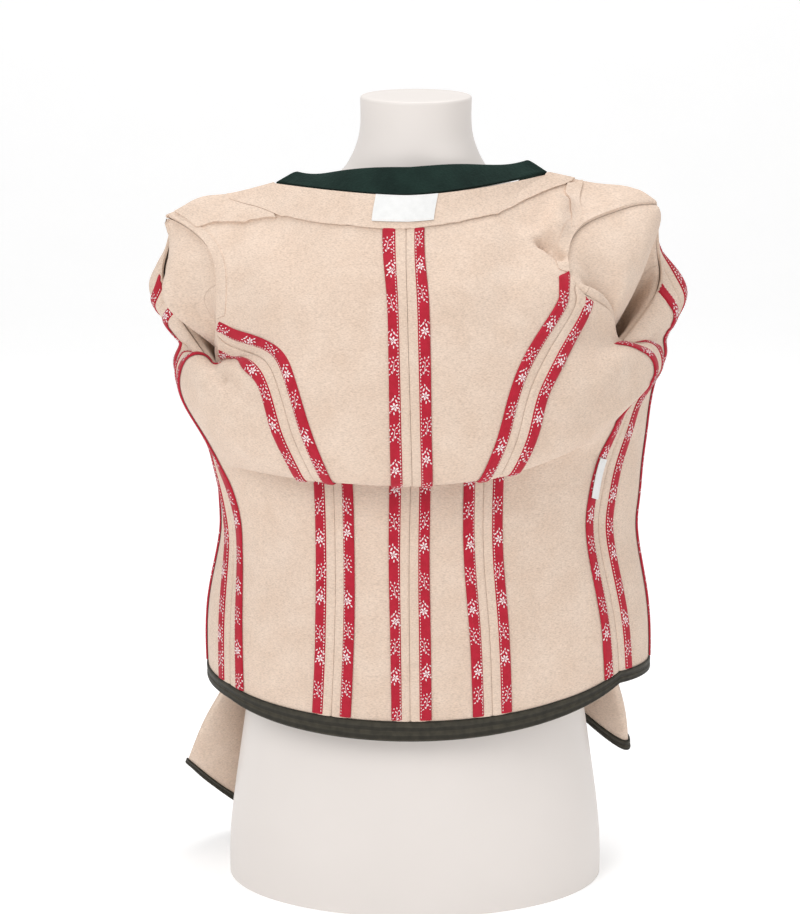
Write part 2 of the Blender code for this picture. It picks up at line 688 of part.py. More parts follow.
def make_panels():
    """The eight panels: centre and side back, front and side front on each side."""
    panels = {}
    for side, sign in SIDES.items():
        seam = f"back_{side}"
        left = sign < 0
        rows = ROWS[ROWS < V[PRINCESS_TOP[seam]] - SAME]
        shares = CENTRE_SHARES if left else tuple(1 - f for f in reversed(CENTRE_SHARES))
        ends = (princess_of(seam), constant(0.0)) if left else (constant(0.0), princess_of(seam))
        panels[f"back_centre_{side}"] = BACK, ends, shares, ROWS
        ends = (constant(-1.0), princess_of(seam)) if left else (princess_of(seam), constant(1.0))
        panels[f"back_side_{side}"] = BACK, ends, SIDE_SHARES, rows
        seam = f"front_{side}"
        rows = ROWS[ROWS < V[PRINCESS_TOP[seam]] - SAME]
        panels[f"front_{side}"] = FRONTS[side], (princess_of(seam), constant(1.0)), FRONT_SHARES, ROWS
        panels[f"front_side_{side}"] = FRONTS[side], (constant(0.0), princess_of(seam)), SIDE_SHARES, rows
    return {name: Panel(name, *plan) for name, plan in panels.items()}


PANELS = make_panels()


def across_seam(sheet, s, v, slope, distance, turning):
    """Places at a distance from a seam: level with it, or where turning is 1 at right angles to it."""
    _, normals, along_s, along_v = sheet.frame(s, v)
    run = unit(slope[:, None] * along_s + along_v)
    spread = np.linalg.norm(np.cross(along_s, run), axis=1)
    level = -distance / np.maximum(spread, LEVEL_LEAST * np.linalg.norm(along_s, axis=1))
    aside = np.cross(normals, run) * sheet.sign * distance
    ss = np.sum(along_s * along_s, axis=1)
    sv = np.sum(along_s * along_v, axis=1)
    vv = np.sum(along_v * along_v, axis=1)
    s_part = np.sum(along_s * aside, axis=1)
    v_part = np.sum(along_v * aside, axis=1)
    scale = ss * vv - sv * sv
    square_s = (vv * s_part - sv * v_part) / scale
    square_v = (ss * v_part - sv * s_part) / scale
    new_s = s + level + (square_s - level) * turning
    new_v = v + square_v * turning
    return np.clip(new_s, sheet.low + TAPE_END, sheet.high - TAPE_END), new_v


def add_tape(name, panel, place_of, rows, sign, turns=False):
    """Tape along one side of a seam, bound over the edge of its allowance."""
    v = np.concatenate([[TAPE_LOW], rows[rows > TAPE_LOW]])
    sheet = panel.sheet
    s = np.clip(place_of(v), sheet.low, sheet.high)
    slope = (place_of(v) - place_of(v - SLOPE_STEP)) / SLOPE_STEP
    turning = np.clip((v - V["lip_out"]) / (V["roll"] - V["lip_out"]), 0.0, 1.0) * turns
    low, high = CLOTH / 2 + TAPE_FLOAT, CLOTH / 2 + TAPE_FLOAT + TAPE_THICK
    near = zip(*across_seam(sheet, s, v, slope, sign * TAPE_INNER, turning))
    far = zip(*across_seam(sheet, s, v, slope, sign * TAPE_OUTER, turning))
    sections = [panel.lay(*a, (high, low)) + panel.lay(*b, (low, high)) for a, b in zip(near, far)]
    add_loft(name, np.array(sections), "red_tape")


def tapes():
    """Two tapes on every body seam."""
    rows = np.append(ROWS[ROWS < FACING_V - SAME], FACING_V - TAPE_GAP_V)
    for side, sign in SIDES.items():
        add_tape(f"tape_centre_back_{side}", PANELS[f"back_centre_{side}"], constant(0.0), rows, -sign)
    for side, sign in SIDES.items():
        for part, centre, aside in (("back", f"back_centre_{side}", f"back_side_{side}"),
                                    ("front", f"front_{side}", f"front_side_{side}")):
            seam = f"{part}_{side}"
            inner_top, outer_top = TAPE_TOPS[seam]
            towards_centre = sign if part == "back" else -1.0
            for label, name, top, turn in (("inner", centre, inner_top, towards_centre),
                                           ("outer", aside, outer_top, -towards_centre)):
                rows = ROWS[ROWS < V[top] - SAME]
                if part == "front":
                    rows = rows[(rows > V["lip_out"]) | (np.arange(len(rows)) % FRONT_TAPE_ROWS == 0)]
                else:
                    between = (rows[1:] + rows[:-1]) / 2
                    rows = np.sort(np.concatenate([rows, between[between > V["lip_out"]]]))
                add_tape(f"tape_{part}_princess_{side}_{label}", PANELS[name], princess_of(seam), rows, turn,
                         part == "back")
        rows = ROWS[ROWS <= V["roll"] + SAME]
        add_tape(f"tape_side_{side}_back", PANELS[f"back_side_{side}"], constant(sign), rows, sign)
        rows = ROWS[ROWS <= V["lip_out"] + SAME]
        add_tape(f"tape_side_{side}_front", PANELS[f"front_side_{side}"], constant(0.0), rows, -1.0)


def hem_columns():
    """Sheets and places of the hem's columns, from the left front edge round the back to the right one."""
    columns = []
    left, right = (princess_place(f"front_{side}", np.zeros(1))[0] for side in SIDES)
    back_left, back_right = (princess_place(f"back_{side}", np.zeros(1))[0] for side in SIDES)
    front_edge = 1.0 - SEAM_GAP
    for f in reversed(FRONT_SHARES):
        columns.append((FRONTS["left"], left + (front_edge - left) * f))
    for f in reversed(SIDE_SHARES[:-1]):
        columns.append((FRONTS["left"], left * f))
    columns.pop()
    for f in SIDE_SHARES[:-1]:
        columns.append((BACK, -1.0 + (back_left + 1.0) * f))
    for f in CENTRE_SHARES:
        columns.append((BACK, back_left * (1.0 - f)))
    for f in CENTRE_SHARES[-2::-1]:
        columns.append((BACK, back_right * (1.0 - f)))
    for f in SIDE_SHARES[1:]:
        columns.append((BACK, back_right + (1.0 - back_right) * f))
    for f in SIDE_SHARES[1:]:
        columns.append((FRONTS["right"], right * f))
    for f in FRONT_SHARES[1:]:
        columns.append((FRONTS["right"], right + (front_edge - right) * f))
    return columns


def band_sections(edge, edge_normals, top, top_normals, down, cloth):
    """Sections of a binding folded over a cloth edge: eight points each."""
    near = cloth / 2 + BAND_FLOAT
    far = near + BAND_THICK
    floor = edge + down * BAND_FLOAT
    under = edge + down * (BAND_FLOAT + BAND_THICK)
    return np.stack([
        top + top_normals * far, under + edge_normals * far,
        under - edge_normals * far, top - top_normals * far,
        top - top_normals * near, floor - edge_normals * near,
        floor + edge_normals * near, top + top_normals * near], axis=1)


def hem_band():
    """Dark binding round the hem, from one front edge to the other."""
    rows = []
    for sheet, place in hem_columns():
        s = np.full(2, place)
        points, normals, _, along_v = sheet.frame(s, np.array([0.0, BAND_V]))
        rows.append((points[0], normals[0], points[1], normals[1], -unit(along_v[0])))
    columns = [np.array(column) for column in zip(*rows)]
    add_loft("hem_band", band_sections(*columns, CLOTH), "dark_band")


def neck_edge():
    """Neck edge from the left front edge round the back to the right one: points, directions past it."""
    fronts = [f for f in FRONT_SHARES if f > SHOULDER_SHARE + SAME]
    backs = [f - 1.0 for f in CENTRE_SHARES if f >= SHOULDER_SHARE - SAME]
    front_edge = 1.0 - SEAM_GAP
    columns = [(FRONTS["left"], min(f, front_edge)) for f in reversed(fronts)]
    columns += [(BACK, s) for s in backs] + [(BACK, -s) for s in reversed(backs[:-1])]
    columns += [(FRONTS["right"], min(f, front_edge)) for f in fronts]
    frames = [sheet.frame(np.array([place]), np.ones(1)) for sheet, place in columns]
    points = np.array([frame[0][0] for frame in frames])
    normals = np.array([frame[1][0] for frame in frames])
    run = unit(np.gradient(points, axis=0))
    return points, unit(np.cross(normals, run))


def collar():
    """Stand collar on the neck edge, leaning towards the neck."""
    points, past = neck_edge()
    bases = points + past * (SEAM_GAP + COLLAR_CLOTH / 2)
    lengths = np.linalg.norm(np.diff(points, axis=0), axis=1)
    share = np.concatenate([[0.0], np.cumsum(lengths)]) / lengths.sum()
    place, rise, lean = column_values(COLLAR, COLLAR_COLUMNS, list(COLLAR), COLLAR_COLUMNS).T
    shape = natural_spline(place, np.stack([rise, lean], axis=1) * MM)(share)
    outward = unit(bases * (1.0, 1.0, 0.0))
    up = np.array([0.0, 0.0, 1.0])
    climb = up * shape[:, :1] - outward * shape[:, 1:]
    across = unit(outward * shape[:, :1] + up * shape[:, 1:]) * COLLAR_CLOTH / 2
    middles = np.array([bases + climb * part for part in COLLAR_ROWS])
    add_wall("collar", middles + across, middles - across, "dark_collar")


def facings():
    """Neck facing across the back, and a facing down each front edge and round its neck."""
    float_to = CLOTH / 2 + FACING_FLOAT
    rows = ROWS[ROWS >= FACING_V - SAME]
    places = [f - 1.0 for f in CENTRE_SHARES[FACING_SKIP:]]
    places = np.array(places + [-s for s in reversed(places[:-1])])
    s, v = np.meshgrid(places, rows)
    along_v = BACK.frame(s[-1], v[-1])[3]
    v[-1] -= SEAM_GAP / 2 / np.linalg.norm(along_v, axis=1)
    outer, inner = wall_from(BACK, s, v, float_to + FACING_CLOTH, float_to)
    add_wall("neck_facing_back", outer, inner, "wool")
    for side in SIDES:
        panel = PANELS[f"front_{side}"]
        outer, inner = panel.layer(float_to + FACING_CLOTH), panel.layer(float_to)
        cells = np.zeros((len(ROWS) - 1, len(FRONT_SHARES) - 1), bool)
        cells[FACING_LOW_ROWS:, -1] = True
        cells[ROWS[:-1] >= FACING_V - SAME, FACING_SKIP:] = True
        add_wall(f"front_facing_{side}", outer, inner, "wool", cells)


def add_label(name, middle, low, high, width, rise):
    """Flat label on the back, centred on a place across it and filling its length between two rows."""
    v = np.linspace(low, high, LABEL_ROWS)
    spread = np.linalg.norm(BACK.frame(np.full_like(v, middle), v)[2], axis=1)
    s = middle + np.outer(width / spread, np.linspace(-0.5, 0.5, LABEL_COLUMNS))
    v = np.repeat(v[:, None], LABEL_COLUMNS, axis=1)
    add_wall(name, *wall_from(BACK, s, v, rise + LABEL_THICK, rise), "label")


def labels():
    """Bare label on the neck facing and bare care label on the right side seam."""
    length_v = np.linalg.norm(BACK.frame(np.zeros(1), np.array([FACING_V]))[3])
    high = 1.0 - NECK_LABEL_SHIFT / length_v
    rise = CLOTH / 2 + FACING_FLOAT + FACING_CLOTH + FACING_FLOAT
    add_label("neck_label", 0.0, high - NECK_LABEL_HEIGHT / length_v, high, NECK_LABEL_WIDTH, rise)
    middle = np.array([CARE_LABEL_PLACE])
    length_v = np.linalg.norm(BACK.frame(middle, np.array([V["tuck_in"]]))[3])
    high = V["tuck_top"]
    rise = CLOTH / 2 + TAPE_FLOAT + TAPE_THICK + FACING_FLOAT
    low = high - CARE_LABEL_LENGTH / length_v
    add_label("care_label", CARE_LABEL_PLACE, low, high, CARE_LABEL_WIDTH, rise)


def armhole_loop(side):
    """Armhole edge, up the back and down the front: points, normals and directions past it."""
    rows = ROWS[ROWS >= V["underarm"] - SAME]
    edge = np.full_like(rows, SIDES[side])
    back_points, back_normals, _, _ = BACK.frame(edge, rows)
    front_points, front_normals, _, _ = FRONTS[side].frame(np.zeros_like(rows), rows)
    points = np.concatenate([back_points, front_points[-2:0:-1]])
    normals = np.concatenate([back_normals, front_normals[-2:0:-1]])
    middle = len(rows) - 1
    normals[0] = unit(back_normals[0] + front_normals[0])
    normals[middle] = unit(back_normals[-1] + front_normals[-1])
    run = unit(np.roll(points, -1, axis=0) - np.roll(points, 1, axis=0))
    past = unit(np.cross(normals, run)) * -SIDES[side]
    return points, normals, past


def sleeve_rings(side):
    """Middle surface of a sleeve: rows from the armhole through the throat to the cuff."""
    points, normals, past = armhole_loop(side)
    lengths = np.linalg.norm(np.roll(points, -1, axis=0) - points, axis=1)
    share = np.concatenate([[0.0], np.cumsum(lengths)[:-1]]) / lengths.sum()
    angle = math.pi / 2 + 2 * math.pi * share
    table = np.array(SLEEVE_RINGS[side], float)
    knots = np.arange(len(table), dtype=float)
    ring_at = natural_spline(knots, table)
    last_span = np.linalg.norm(table[-1, :3] - table[-2, :3]) * MM
    places = np.concatenate([knots[:-1], [knots[-1] - CUFF_BAND_WIDTH / last_span, knots[-1]]])
    tube = []
    for centre_x, centre_y, centre_z, long, thin, heading, bow, tilt, curl in ring_at(places):
        turn = math.radians(heading)
        ahead = np.array([math.cos(turn), math.sin(turn)])
        outward = np.array([-ahead[1], ahead[0]]) * -SIDES[side]
        far = long * np.cos(angle)
        away = thin * np.sin(angle) - bow * np.cos(angle) ** 2
        plan = np.outer(far, ahead) + np.outer(away, outward) + (centre_x, centre_y)
        height = centre_z + math.tan(math.radians(tilt)) * far + curl * np.cos(angle) ** 2
        tube.append(np.column_stack([plan, height]) * MM)
    head = SLEEVE_HEAD[side]
    place, *shape = column_values(head, HEAD_COLUMNS, list(head), HEAD_COLUMNS).T
    under, along, sink, straight = (np.interp(share, place, row, period=1.0)[:, None] * MM for row in shape)
    start = points - normals * under
    roll = points + past * CAP_ROLL - normals * (under + CAP_SINK)
    lead = past * along - normals * sink
    drop = straight * np.array([0.0, 0.0, 1.0])
    cap = []
    for q in np.linspace(0.0, 1.0, THROAT_STEPS + 1)[:-1]:
        cap.append(roll * (1 - q) ** 3 + 3 * (roll + lead) * q * (1 - q) ** 2
                   + 3 * (tube[0] + drop) * q ** 2 * (1 - q) + tube[0] * q ** 3)
    return np.array([start] + cap + tube), normals


def grid_normals(rows):
    """Normals of a grid that closes on itself across its columns."""
    along = np.gradient(rows, axis=0)
    across = np.roll(rows, -1, axis=1) - np.roll(rows, 1, axis=1)
    return unit(np.cross(across, along))


def sleeves():
    """Upper and under sleeve on each side, and the cuff bindings."""
    for side, sign in SIDES.items():
        rows, edge_normals = sleeve_rings(side)
        normals = grid_normals(rows)
        normals *= np.sign(np.sum(normals[0] * edge_normals))
        normals[0] = edge_normals
        count = rows.shape[1]
        under = int(round(count * UNDER_SLEEVE_SHARE / 2))
        pieces = {"under": np.arange(-under, under + 1) % count,
                  "upper": np.arange(under, count - under + 1) % count}
        for name, columns in pieces.items():
            middle = rows[:, columns].copy()
            turned = normals[:, columns]
            middle[:, 0] += unit(middle[:, 1] - middle[:, 0]) * SEAM_GAP / 2
            middle[:, -1] += unit(middle[:, -2] - middle[:, -1]) * SEAM_GAP / 2
            offset = turned * SLEEVE_CLOTH / 2
            add_wall(f"sleeve_{name}_{side}", middle + offset, middle - offset, "wool")
        down = unit(rows[-1] - rows[-2])
        sections = band_sections(rows[-1], normals[-1], rows[-2], normals[-2], down, SLEEVE_CLOTH)
        add_loft(f"cuff_band_{side}", sections, "dark_band", closed=True)


def dress_form():
    """Smooth torso without limbs, standing on its flat base."""
    angles = np.arange(FORM_SIDES) * 2 * math.pi / FORM_SIDES
    rings = []
    for height, half_width, half_depth, middle_y in FORM_RINGS:
        x = half_width * np.cos(angles)
        y = middle_y + half_depth * np.sin(angles)
        rings.append(np.stack([x, y, np.full_like(x, height)], axis=1))
    add_loft("dress_form", np.array(rings) * MM, "form")


def main():
    """Remove what the scene holds and build every piece."""
    for item in list(bpy.data.objects):
        bpy.data.objects.remove(item, do_unlink=True)
    dress_form()
    for panel in PANELS.values():
        panel.build()
    sleeves()
    collar()
    facings()
    hem_band()
    tapes()
    labels()


main()
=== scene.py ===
# %% [markdown]
# # A boiled-wool jacket, inside out, on a dress form
#
# The jacket has been turned inside out and stands with its back to us, so every seam shows its bound edges.
# The frame gives the plain solids. They could be kept and only painted, but cloth needs thin edges and soft folds.
# So each step below replaces some of them with a finer surface of the same form: the numbers that shaped the
# solids are repeated here, and the grids are simply much closer.

# %% Load the frame
import math
from itertools import repeat

import bpy
import numpy as np
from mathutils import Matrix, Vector


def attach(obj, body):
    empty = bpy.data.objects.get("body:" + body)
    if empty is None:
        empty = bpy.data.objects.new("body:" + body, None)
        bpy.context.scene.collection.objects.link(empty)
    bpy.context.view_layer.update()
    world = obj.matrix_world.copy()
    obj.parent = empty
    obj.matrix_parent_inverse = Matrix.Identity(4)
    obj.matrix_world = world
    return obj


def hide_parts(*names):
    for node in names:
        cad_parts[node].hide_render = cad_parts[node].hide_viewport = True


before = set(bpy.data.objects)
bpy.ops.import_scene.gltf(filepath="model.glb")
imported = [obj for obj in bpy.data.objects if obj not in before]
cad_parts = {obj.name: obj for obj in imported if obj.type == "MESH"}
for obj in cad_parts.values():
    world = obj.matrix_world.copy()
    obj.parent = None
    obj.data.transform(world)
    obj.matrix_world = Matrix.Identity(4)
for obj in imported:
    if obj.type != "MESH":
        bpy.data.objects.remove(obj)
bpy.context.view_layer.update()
MM = 0.001
SIDES = {"left": -1.0, "right": 1.0}

# %% [markdown]
# ## Camera
#
# The picture was taken a little from above with a long lens, which keeps the hem and the shoulders at nearly
# the same scale. A camera can be aimed by hand in the viewport. Here its place and pitch were fitted to the outline
# of the form, so that the model can be laid over the picture.

# %% Camera
CAMERA_PLACE = (-0.0143, -2.5, 1.047)
CAMERA_PITCH = 14.385
CAMERA_LENS = 110.0
SENSOR = 36.0

camera_data = bpy.data.cameras.new("camera")
camera_data.lens = CAMERA_LENS
camera_data.sensor_width = SENSOR
camera = bpy.data.objects.new("camera", camera_data)
camera.location = CAMERA_PLACE
camera.rotation_euler = (math.radians(90.0 - CAMERA_PITCH), 0.0, 0.0)
bpy.context.scene.collection.objects.link(camera)
bpy.context.scene.camera = camera
print("camera at", CAMERA_PLACE)

# %% [markdown]
# ## Light
#
# The object stood in a white room. One strong lamp would give hard shadows, so a bright surround and large soft
# lamps are used: felt shows its folds by gentle shading.

# %% Light
SURROUND = 0.56
WHITE = (1.0, 1.0, 1.0, 1.0)
# place, target, size in metres and power in watts
LAMPS = {
    "key":  ((-1.3, -2.0, 2.3), (0.0, 0.0, 0.45), 1.5, 36.0),
    "fill": ((1.9, -1.6, 1.3), (0.0, 0.0, 0.45), 1.6, 9.0),
    "top":  ((0.2, 0.4, 2.4), (0.0, 0.0, 0.5), 1.4, 20.0),
}

world = bpy.data.worlds.new("white_room")
world.use_nodes = True
world.node_tree.nodes["Background"].inputs["Color"].default_value = WHITE
world.node_tree.nodes["Background"].inputs["Strength"].default_value = SURROUND
bpy.context.scene.world = world
bpy.context.scene.view_settings.view_transform = "Standard"


def add_lamp(name, place, target, size, power):
    """Square soft lamp at a place, turned to look at its target."""
    lamp = bpy.data.lights.new(name, "AREA")
    lamp.size = size
    lamp.energy = power
    made = bpy.data.objects.new(name, lamp)
    made.location = place
    away = Vector(place) - Vector(target)
    made.rotation_euler = away.to_track_quat("Z", "Y").to_euler()
    bpy.context.scene.collection.objects.link(made)


for lamp_name, lamp_plan in LAMPS.items():
    add_lamp(lamp_name, *lamp_plan)
print("lamps", list(LAMPS))

# %% [markdown]
# ## Finishes
#
# Boiled wool is felted: no weave shows, only short fibres lying mostly across the cloth and a faint cloudiness
# in the colour. The tape is a fine plain weave, the hem binding a ribbed braid and the labels a satin. Photographs of
# cloth could be mapped on, but nodes need no files and stay sharp at any distance. They work from the place on the
# object, or from a strip's own length and width. First come the helpers that put nodes together.

# %% Node helpers
GREY_STOPS = ((0.25, 0.25, 0.25), (1.0, 1.0, 1.0), 0.25, 0.6)
EVEN = (1.0, 1.0, 1.0)


def shader_of(name, constants):
    """New material, its node tree and its shader with the values that are the same all over."""
    made = bpy.data.materials.new(name)
    made.use_nodes = True
    shader = made.node_tree.nodes["Principled BSDF"]
    for socket, value in constants.items():
        shader.inputs[socket].default_value = value
    return made, made.node_tree, shader


def add_node(tree, kind, values=(), links=()):
    """New node with values set and other nodes' outputs linked to its inputs."""
    made = tree.nodes.new(kind)
    for socket, value in dict(values).items():
        made.inputs[socket].default_value = value
    for socket, output in dict(links).items():
        tree.links.new(output, made.inputs[socket])
    return made


def coordinates(tree, kind, stretch):
    """Object or UV coordinates, stretched along each axis."""
    source = tree.nodes.new("ShaderNodeTexCoord").outputs[kind]
    return add_node(tree, "ShaderNodeMapping", {"Scale": stretch}, {"Vector": source}).outputs["Vector"]


def noise(tree, vector, scale, detail=2.0):
    """Cloudy noise with a scale in cells per metre."""
    return add_node(tree, "ShaderNodeTexNoise", {"Scale": scale, "Detail": detail},
                    {"Vector": vector}).outputs["Fac"]


def two_colours(tree, factor, first, second, low=0.3, high=0.7):
    """Colours blended by a factor, from the first below low to the second above high."""
    ramp = add_node(tree, "ShaderNodeValToRGB", (), {"Fac": factor})
    for stop, place, colour in zip(ramp.color_ramp.elements, (low, high), (first, second)):
        stop.position = place
        stop.color = (*colour, 1.0)
    return ramp.outputs["Color"]


def darkened(tree, colour, factor, amount):
    """Colour multiplied by a grey that follows a factor."""
    mix = tree.nodes.new("ShaderNodeMix")
    mix.data_type = "RGBA"
    mix.blend_type = "MULTIPLY"
    mix.inputs["Factor"].default_value = amount
    tree.links.new(colour, mix.inputs[6])
    tree.links.new(two_colours(tree, factor, *GREY_STOPS), mix.inputs[7])
    return mix.outputs[2]


def bumped(tree, shader, heights):
    """Bumps laid over each other: each a height, a strength and a distance in metres."""
    normal = None
    for height, strength, distance in heights:
        bump = add_node(tree, "ShaderNodeBump", {"Strength": strength, "Distance": distance}, {"Height": height})
        if normal is not None:
            tree.links.new(normal, bump.inputs["Normal"])
        normal = bump.outputs["Normal"]
    tree.links.new(normal, shader.inputs["Normal"])


print("colour stops of the shading", GREY_STOPS)

# %% [markdown]
# Wool and collar differ only in colour and sheen, and tape, braid and label in colour, roughness and threads, so one
# function makes each kind. Scales are in cells per metre, and the bumps' heights are in metres.

# %% Felt and weaves
CLOUDS, FIBRES, PILLS = 38.0, 1000.0, 330.0
FIBRE_STRETCH = (0.45, 0.45, 1.5)
FIBRE_SHADE, PILL_SHADE = 0.34, 0.07
# strength and height of the bumps
PILL_BUMP, FIBRE_BUMP = (0.45, 0.0014), (0.6, 0.0009)
WEAVE_CLOUDS = 160.0
# distortion, detail, strength and height of the bump, and how much the wave darkens
THREAD_WAVE = (0.6, 1.0, 0.25, 0.0003, 0.12)
RIB_WAVE = (0.8, 2.0, 0.6, 0.0008, 0.55)


def felt(name, light, dark, sheen, sheen_tint):
    """Felted wool: cloudy colour, short fibres across the cloth and small pills."""
    made, tree, shader = shader_of(name, {
        "Roughness": 0.95, "Sheen Weight": sheen, "Sheen Roughness": 0.5, "Sheen Tint": (*sheen_tint, 1.0),
        "Specular IOR Level": 0.15})
    plain = coordinates(tree, "Object", EVEN)
    across = coordinates(tree, "Object", FIBRE_STRETCH)
    clouds = two_colours(tree, noise(tree, plain, CLOUDS, 4.0), dark, light)
    fibres = noise(tree, across, FIBRES, 4.0)
    pills = noise(tree, plain, PILLS, 3.0)
    specks = darkened(tree, clouds, fibres, FIBRE_SHADE)
    tree.links.new(darkened(tree, specks, pills, PILL_SHADE), shader.inputs["Base Color"])
    bumped(tree, shader, [(pills, *PILL_BUMP), (fibres, *FIBRE_BUMP)])
    return made


def woven(name, light, dark, roughness, threads, ribs=0.0):
    """Woven strip: threads along and across it by its own length and width, and ribs along it."""
    made, tree, shader = shader_of(name, {"Roughness": roughness, "Sheen Weight": 0.12, "Specular IOR Level": 0.25})
    strip = coordinates(tree, "UV", EVEN)
    colour = two_colours(tree, noise(tree, strip, WEAVE_CLOUDS, 3.0), dark, light)
    waves = [("X", threads, *THREAD_WAVE), ("Y", threads, *THREAD_WAVE)] + [("X", ribs, *RIB_WAVE)] * (ribs > 0)
    heights = []
    for direction, scale, distortion, detail, strength, height, shade in waves:
        wave = add_node(tree, "ShaderNodeTexWave", {"Scale": scale, "Distortion": distortion, "Detail": detail},
                        {"Vector": strip})
        wave.bands_direction = direction
        heights.append((wave.outputs["Fac"], strength, height))
        colour = darkened(tree, colour, wave.outputs["Fac"], shade)
    tree.links.new(colour, shader.inputs["Base Color"])
    bumped(tree, shader, heights)
    return made


print("fibres", FIBRES, "and pills", PILLS, "in a metre")

# %% [markdown]
# The form and the floor are smooth, and threads are too thin to show more than two shades. Then every finish gets
# its colours in one table.

# %% Finishes
SKIN_CLOUDS, SKIN_GRAIN, THREAD_CLOUDS = 7.0, 900.0, 700.0
SKIN_BUMP = (0.05, 0.0002)
FLOOR_GLOW = 0.27


def moulded(name, light, dark, roughness):
    """Moulded plastic with a satin skin: nearly even colour and a faint unevenness."""
    made, tree, shader = shader_of(name, {"Roughness": roughness, "Specular IOR Level": 0.35})
    place = coordinates(tree, "Object", EVEN)
    clouds = noise(tree, place, SKIN_CLOUDS, 3.0)
    tree.links.new(two_colours(tree, clouds, dark, light), shader.inputs["Base Color"])
    bumped(tree, shader, [(noise(tree, place, SKIN_GRAIN, 2.0), *SKIN_BUMP)])
    return made


def thread(name, light, dark):
    """Sewing thread: two close shades."""
    made, tree, shader = shader_of(name, {"Roughness": 0.7, "Specular IOR Level": 0.2})
    clouds = noise(tree, coordinates(tree, "Object", EVEN), THREAD_CLOUDS)
    tree.links.new(two_colours(tree, clouds, dark, light), shader.inputs["Base Color"])
    return made


FINISHES = {
    "wool": felt("cream_felt", (0.79, 0.632, 0.517), (0.738, 0.572, 0.455), 0.25, (1.0, 0.91, 0.86)),
    "dark_collar": felt("green_felt", (0.0125, 0.030, 0.024), (0.007, 0.017, 0.014), 0.06, (0.5, 0.8, 0.7)),
    "red_tape": woven("red_tape", (0.50, 0.010, 0.034), (0.41, 0.007, 0.023), 0.72, 420.0),
    "dark_band": woven("olive_braid", (0.060, 0.053, 0.038), (0.036, 0.033, 0.024), 0.85, 300.0, 48.0),
    "label": woven("label_satin", (0.86, 0.86, 0.85), (0.80, 0.80, 0.79), 0.5, 500.0),
    "form": moulded("satin_white", (0.745, 0.695, 0.66), (0.72, 0.67, 0.635), 0.42),
    "print": thread("white_print", (0.86, 0.78, 0.78), (0.78, 0.66, 0.66)),
    "white_thread": thread("white_thread", (0.85, 0.78, 0.74), (0.72, 0.60, 0.56)),
    "brown_thread": thread("brown_thread", (0.10, 0.055, 0.04), (0.05, 0.03, 0.022)),
    "floor": moulded("pale_floor", (0.93, 0.93, 0.93), (0.92, 0.92, 0.92), 0.9),
}
# the floor glows a little, like a light table
floor_shader = FINISHES["floor"].node_tree.nodes["Principled BSDF"]
floor_shader.inputs["Emission Color"].default_value = WHITE
floor_shader.inputs["Emission Strength"].default_value = FLOOR_GLOW
print("finishes", list(FINISHES))

# %% [markdown]
# ## Meshes from grids
#
# Cloth could be drawn by hand and thickened with a modifier. Here every piece is a grid of points worked out as whole
# arrays, so that its thickness and its seams are exact. A strip of cloth is a closed wall between an outer and an
# inner grid. A tube or a binding is a ring of points carried along a path.

# %% Faces of grids


def quads(number):
    """Quads of a grid of point numbers."""
    return np.stack([number[:-1, :-1], number[:-1, 1:], number[1:, 1:], number[1:, :-1]], axis=-1).reshape(-1, 4)


def wall_faces(rows, columns):
    """Quads of a closed wall: the outer sheet, the inner sheet turned round and the rim between them."""
    count = rows * columns
    number = np.arange(count).reshape(rows, columns)
    rim = np.concatenate([number[0, :-1], number[:-1, -1], number[-1, :0:-1], number[:0:-1, 0]])
    after = np.roll(rim, -1)
    return np.concatenate([quads(number), quads(number + count)[:, ::-1],
                           np.stack([rim + count, after + count, after, rim], axis=-1)])


def loft_faces(rows, columns, closed):
    """Quads of rings carried along a path; a closed path joins its last ring to its first."""
    number = np.arange(rows * columns).reshape(rows, columns)
    number = np.concatenate([number, number[:, :1]], axis=1)
    return quads(np.concatenate([number, number[:1]]) if closed else number)


def inside_out(points, faces):
    """Whether the faces of a closed mesh point inwards: the sign of its volume."""
    a, b, c, d = (points[faces[:, k]] for k in range(4))
    volume = np.sum(a * np.cross(b, c)) + np.sum(a * np.cross(c, d))
    return volume < 0.0


print("faces of a wall of 2 by 2 points:", len(wall_faces(2, 2)))

# %% [markdown]
# A piece is one mesh with its finishes. Small marks such as petals and stitches are joined to it as more faces, which
# is far quicker than an object for each.

# %% Pieces
# an edge that turns by more degrees than this is sharp
SHARP = 55.0
TINY = 1e-12


def add_piece(name, points, faces, finishes, uv=None, marks=(), nodes=(), sharp=SHARP):
    """New piece riding on the root: its faces turned outwards, smooth but for its sharp edges.

    marks are more points and faces with the number of their finish, laid on the piece.
    """
    points = np.asarray(points, float).reshape(-1, 3)
    faces = faces[:, ::-1] if inside_out(points, faces) else faces
    all_faces = faces.tolist()
    finish_of = [0] * len(all_faces)
    for mark_points, mark_faces, finish in marks:
        all_faces += (mark_faces + len(points)).tolist()
        finish_of += [finish] * len(mark_faces)
        points = np.concatenate([points, mark_points.reshape(-1, 3)])
    mesh = bpy.data.meshes.new(name)
    mesh.from_pydata(points.tolist(), [], all_faces)
    mesh.shade_smooth()
    mesh.set_sharp_from_angle(angle=math.radians(sharp))
    for finish in finishes:
        mesh.materials.append(FINISHES[finish])
    mesh.polygons.foreach_set("material_index", finish_of)
    if uv is not None:
        flat = np.zeros((len(points), 2))
        flat[:len(uv)] = uv
        corner = np.zeros(len(mesh.loops), int)
        mesh.loops.foreach_get("vertex_index", corner)
        mesh.uv_layers.new(name="strip").data.foreach_set("uv", flat[corner].astype(np.float32).ravel())
    made = bpy.data.objects.new(name, mesh)
    bpy.context.scene.collection.objects.link(made)
    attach(made, "root")
    if nodes:
        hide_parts(*nodes)
    return made


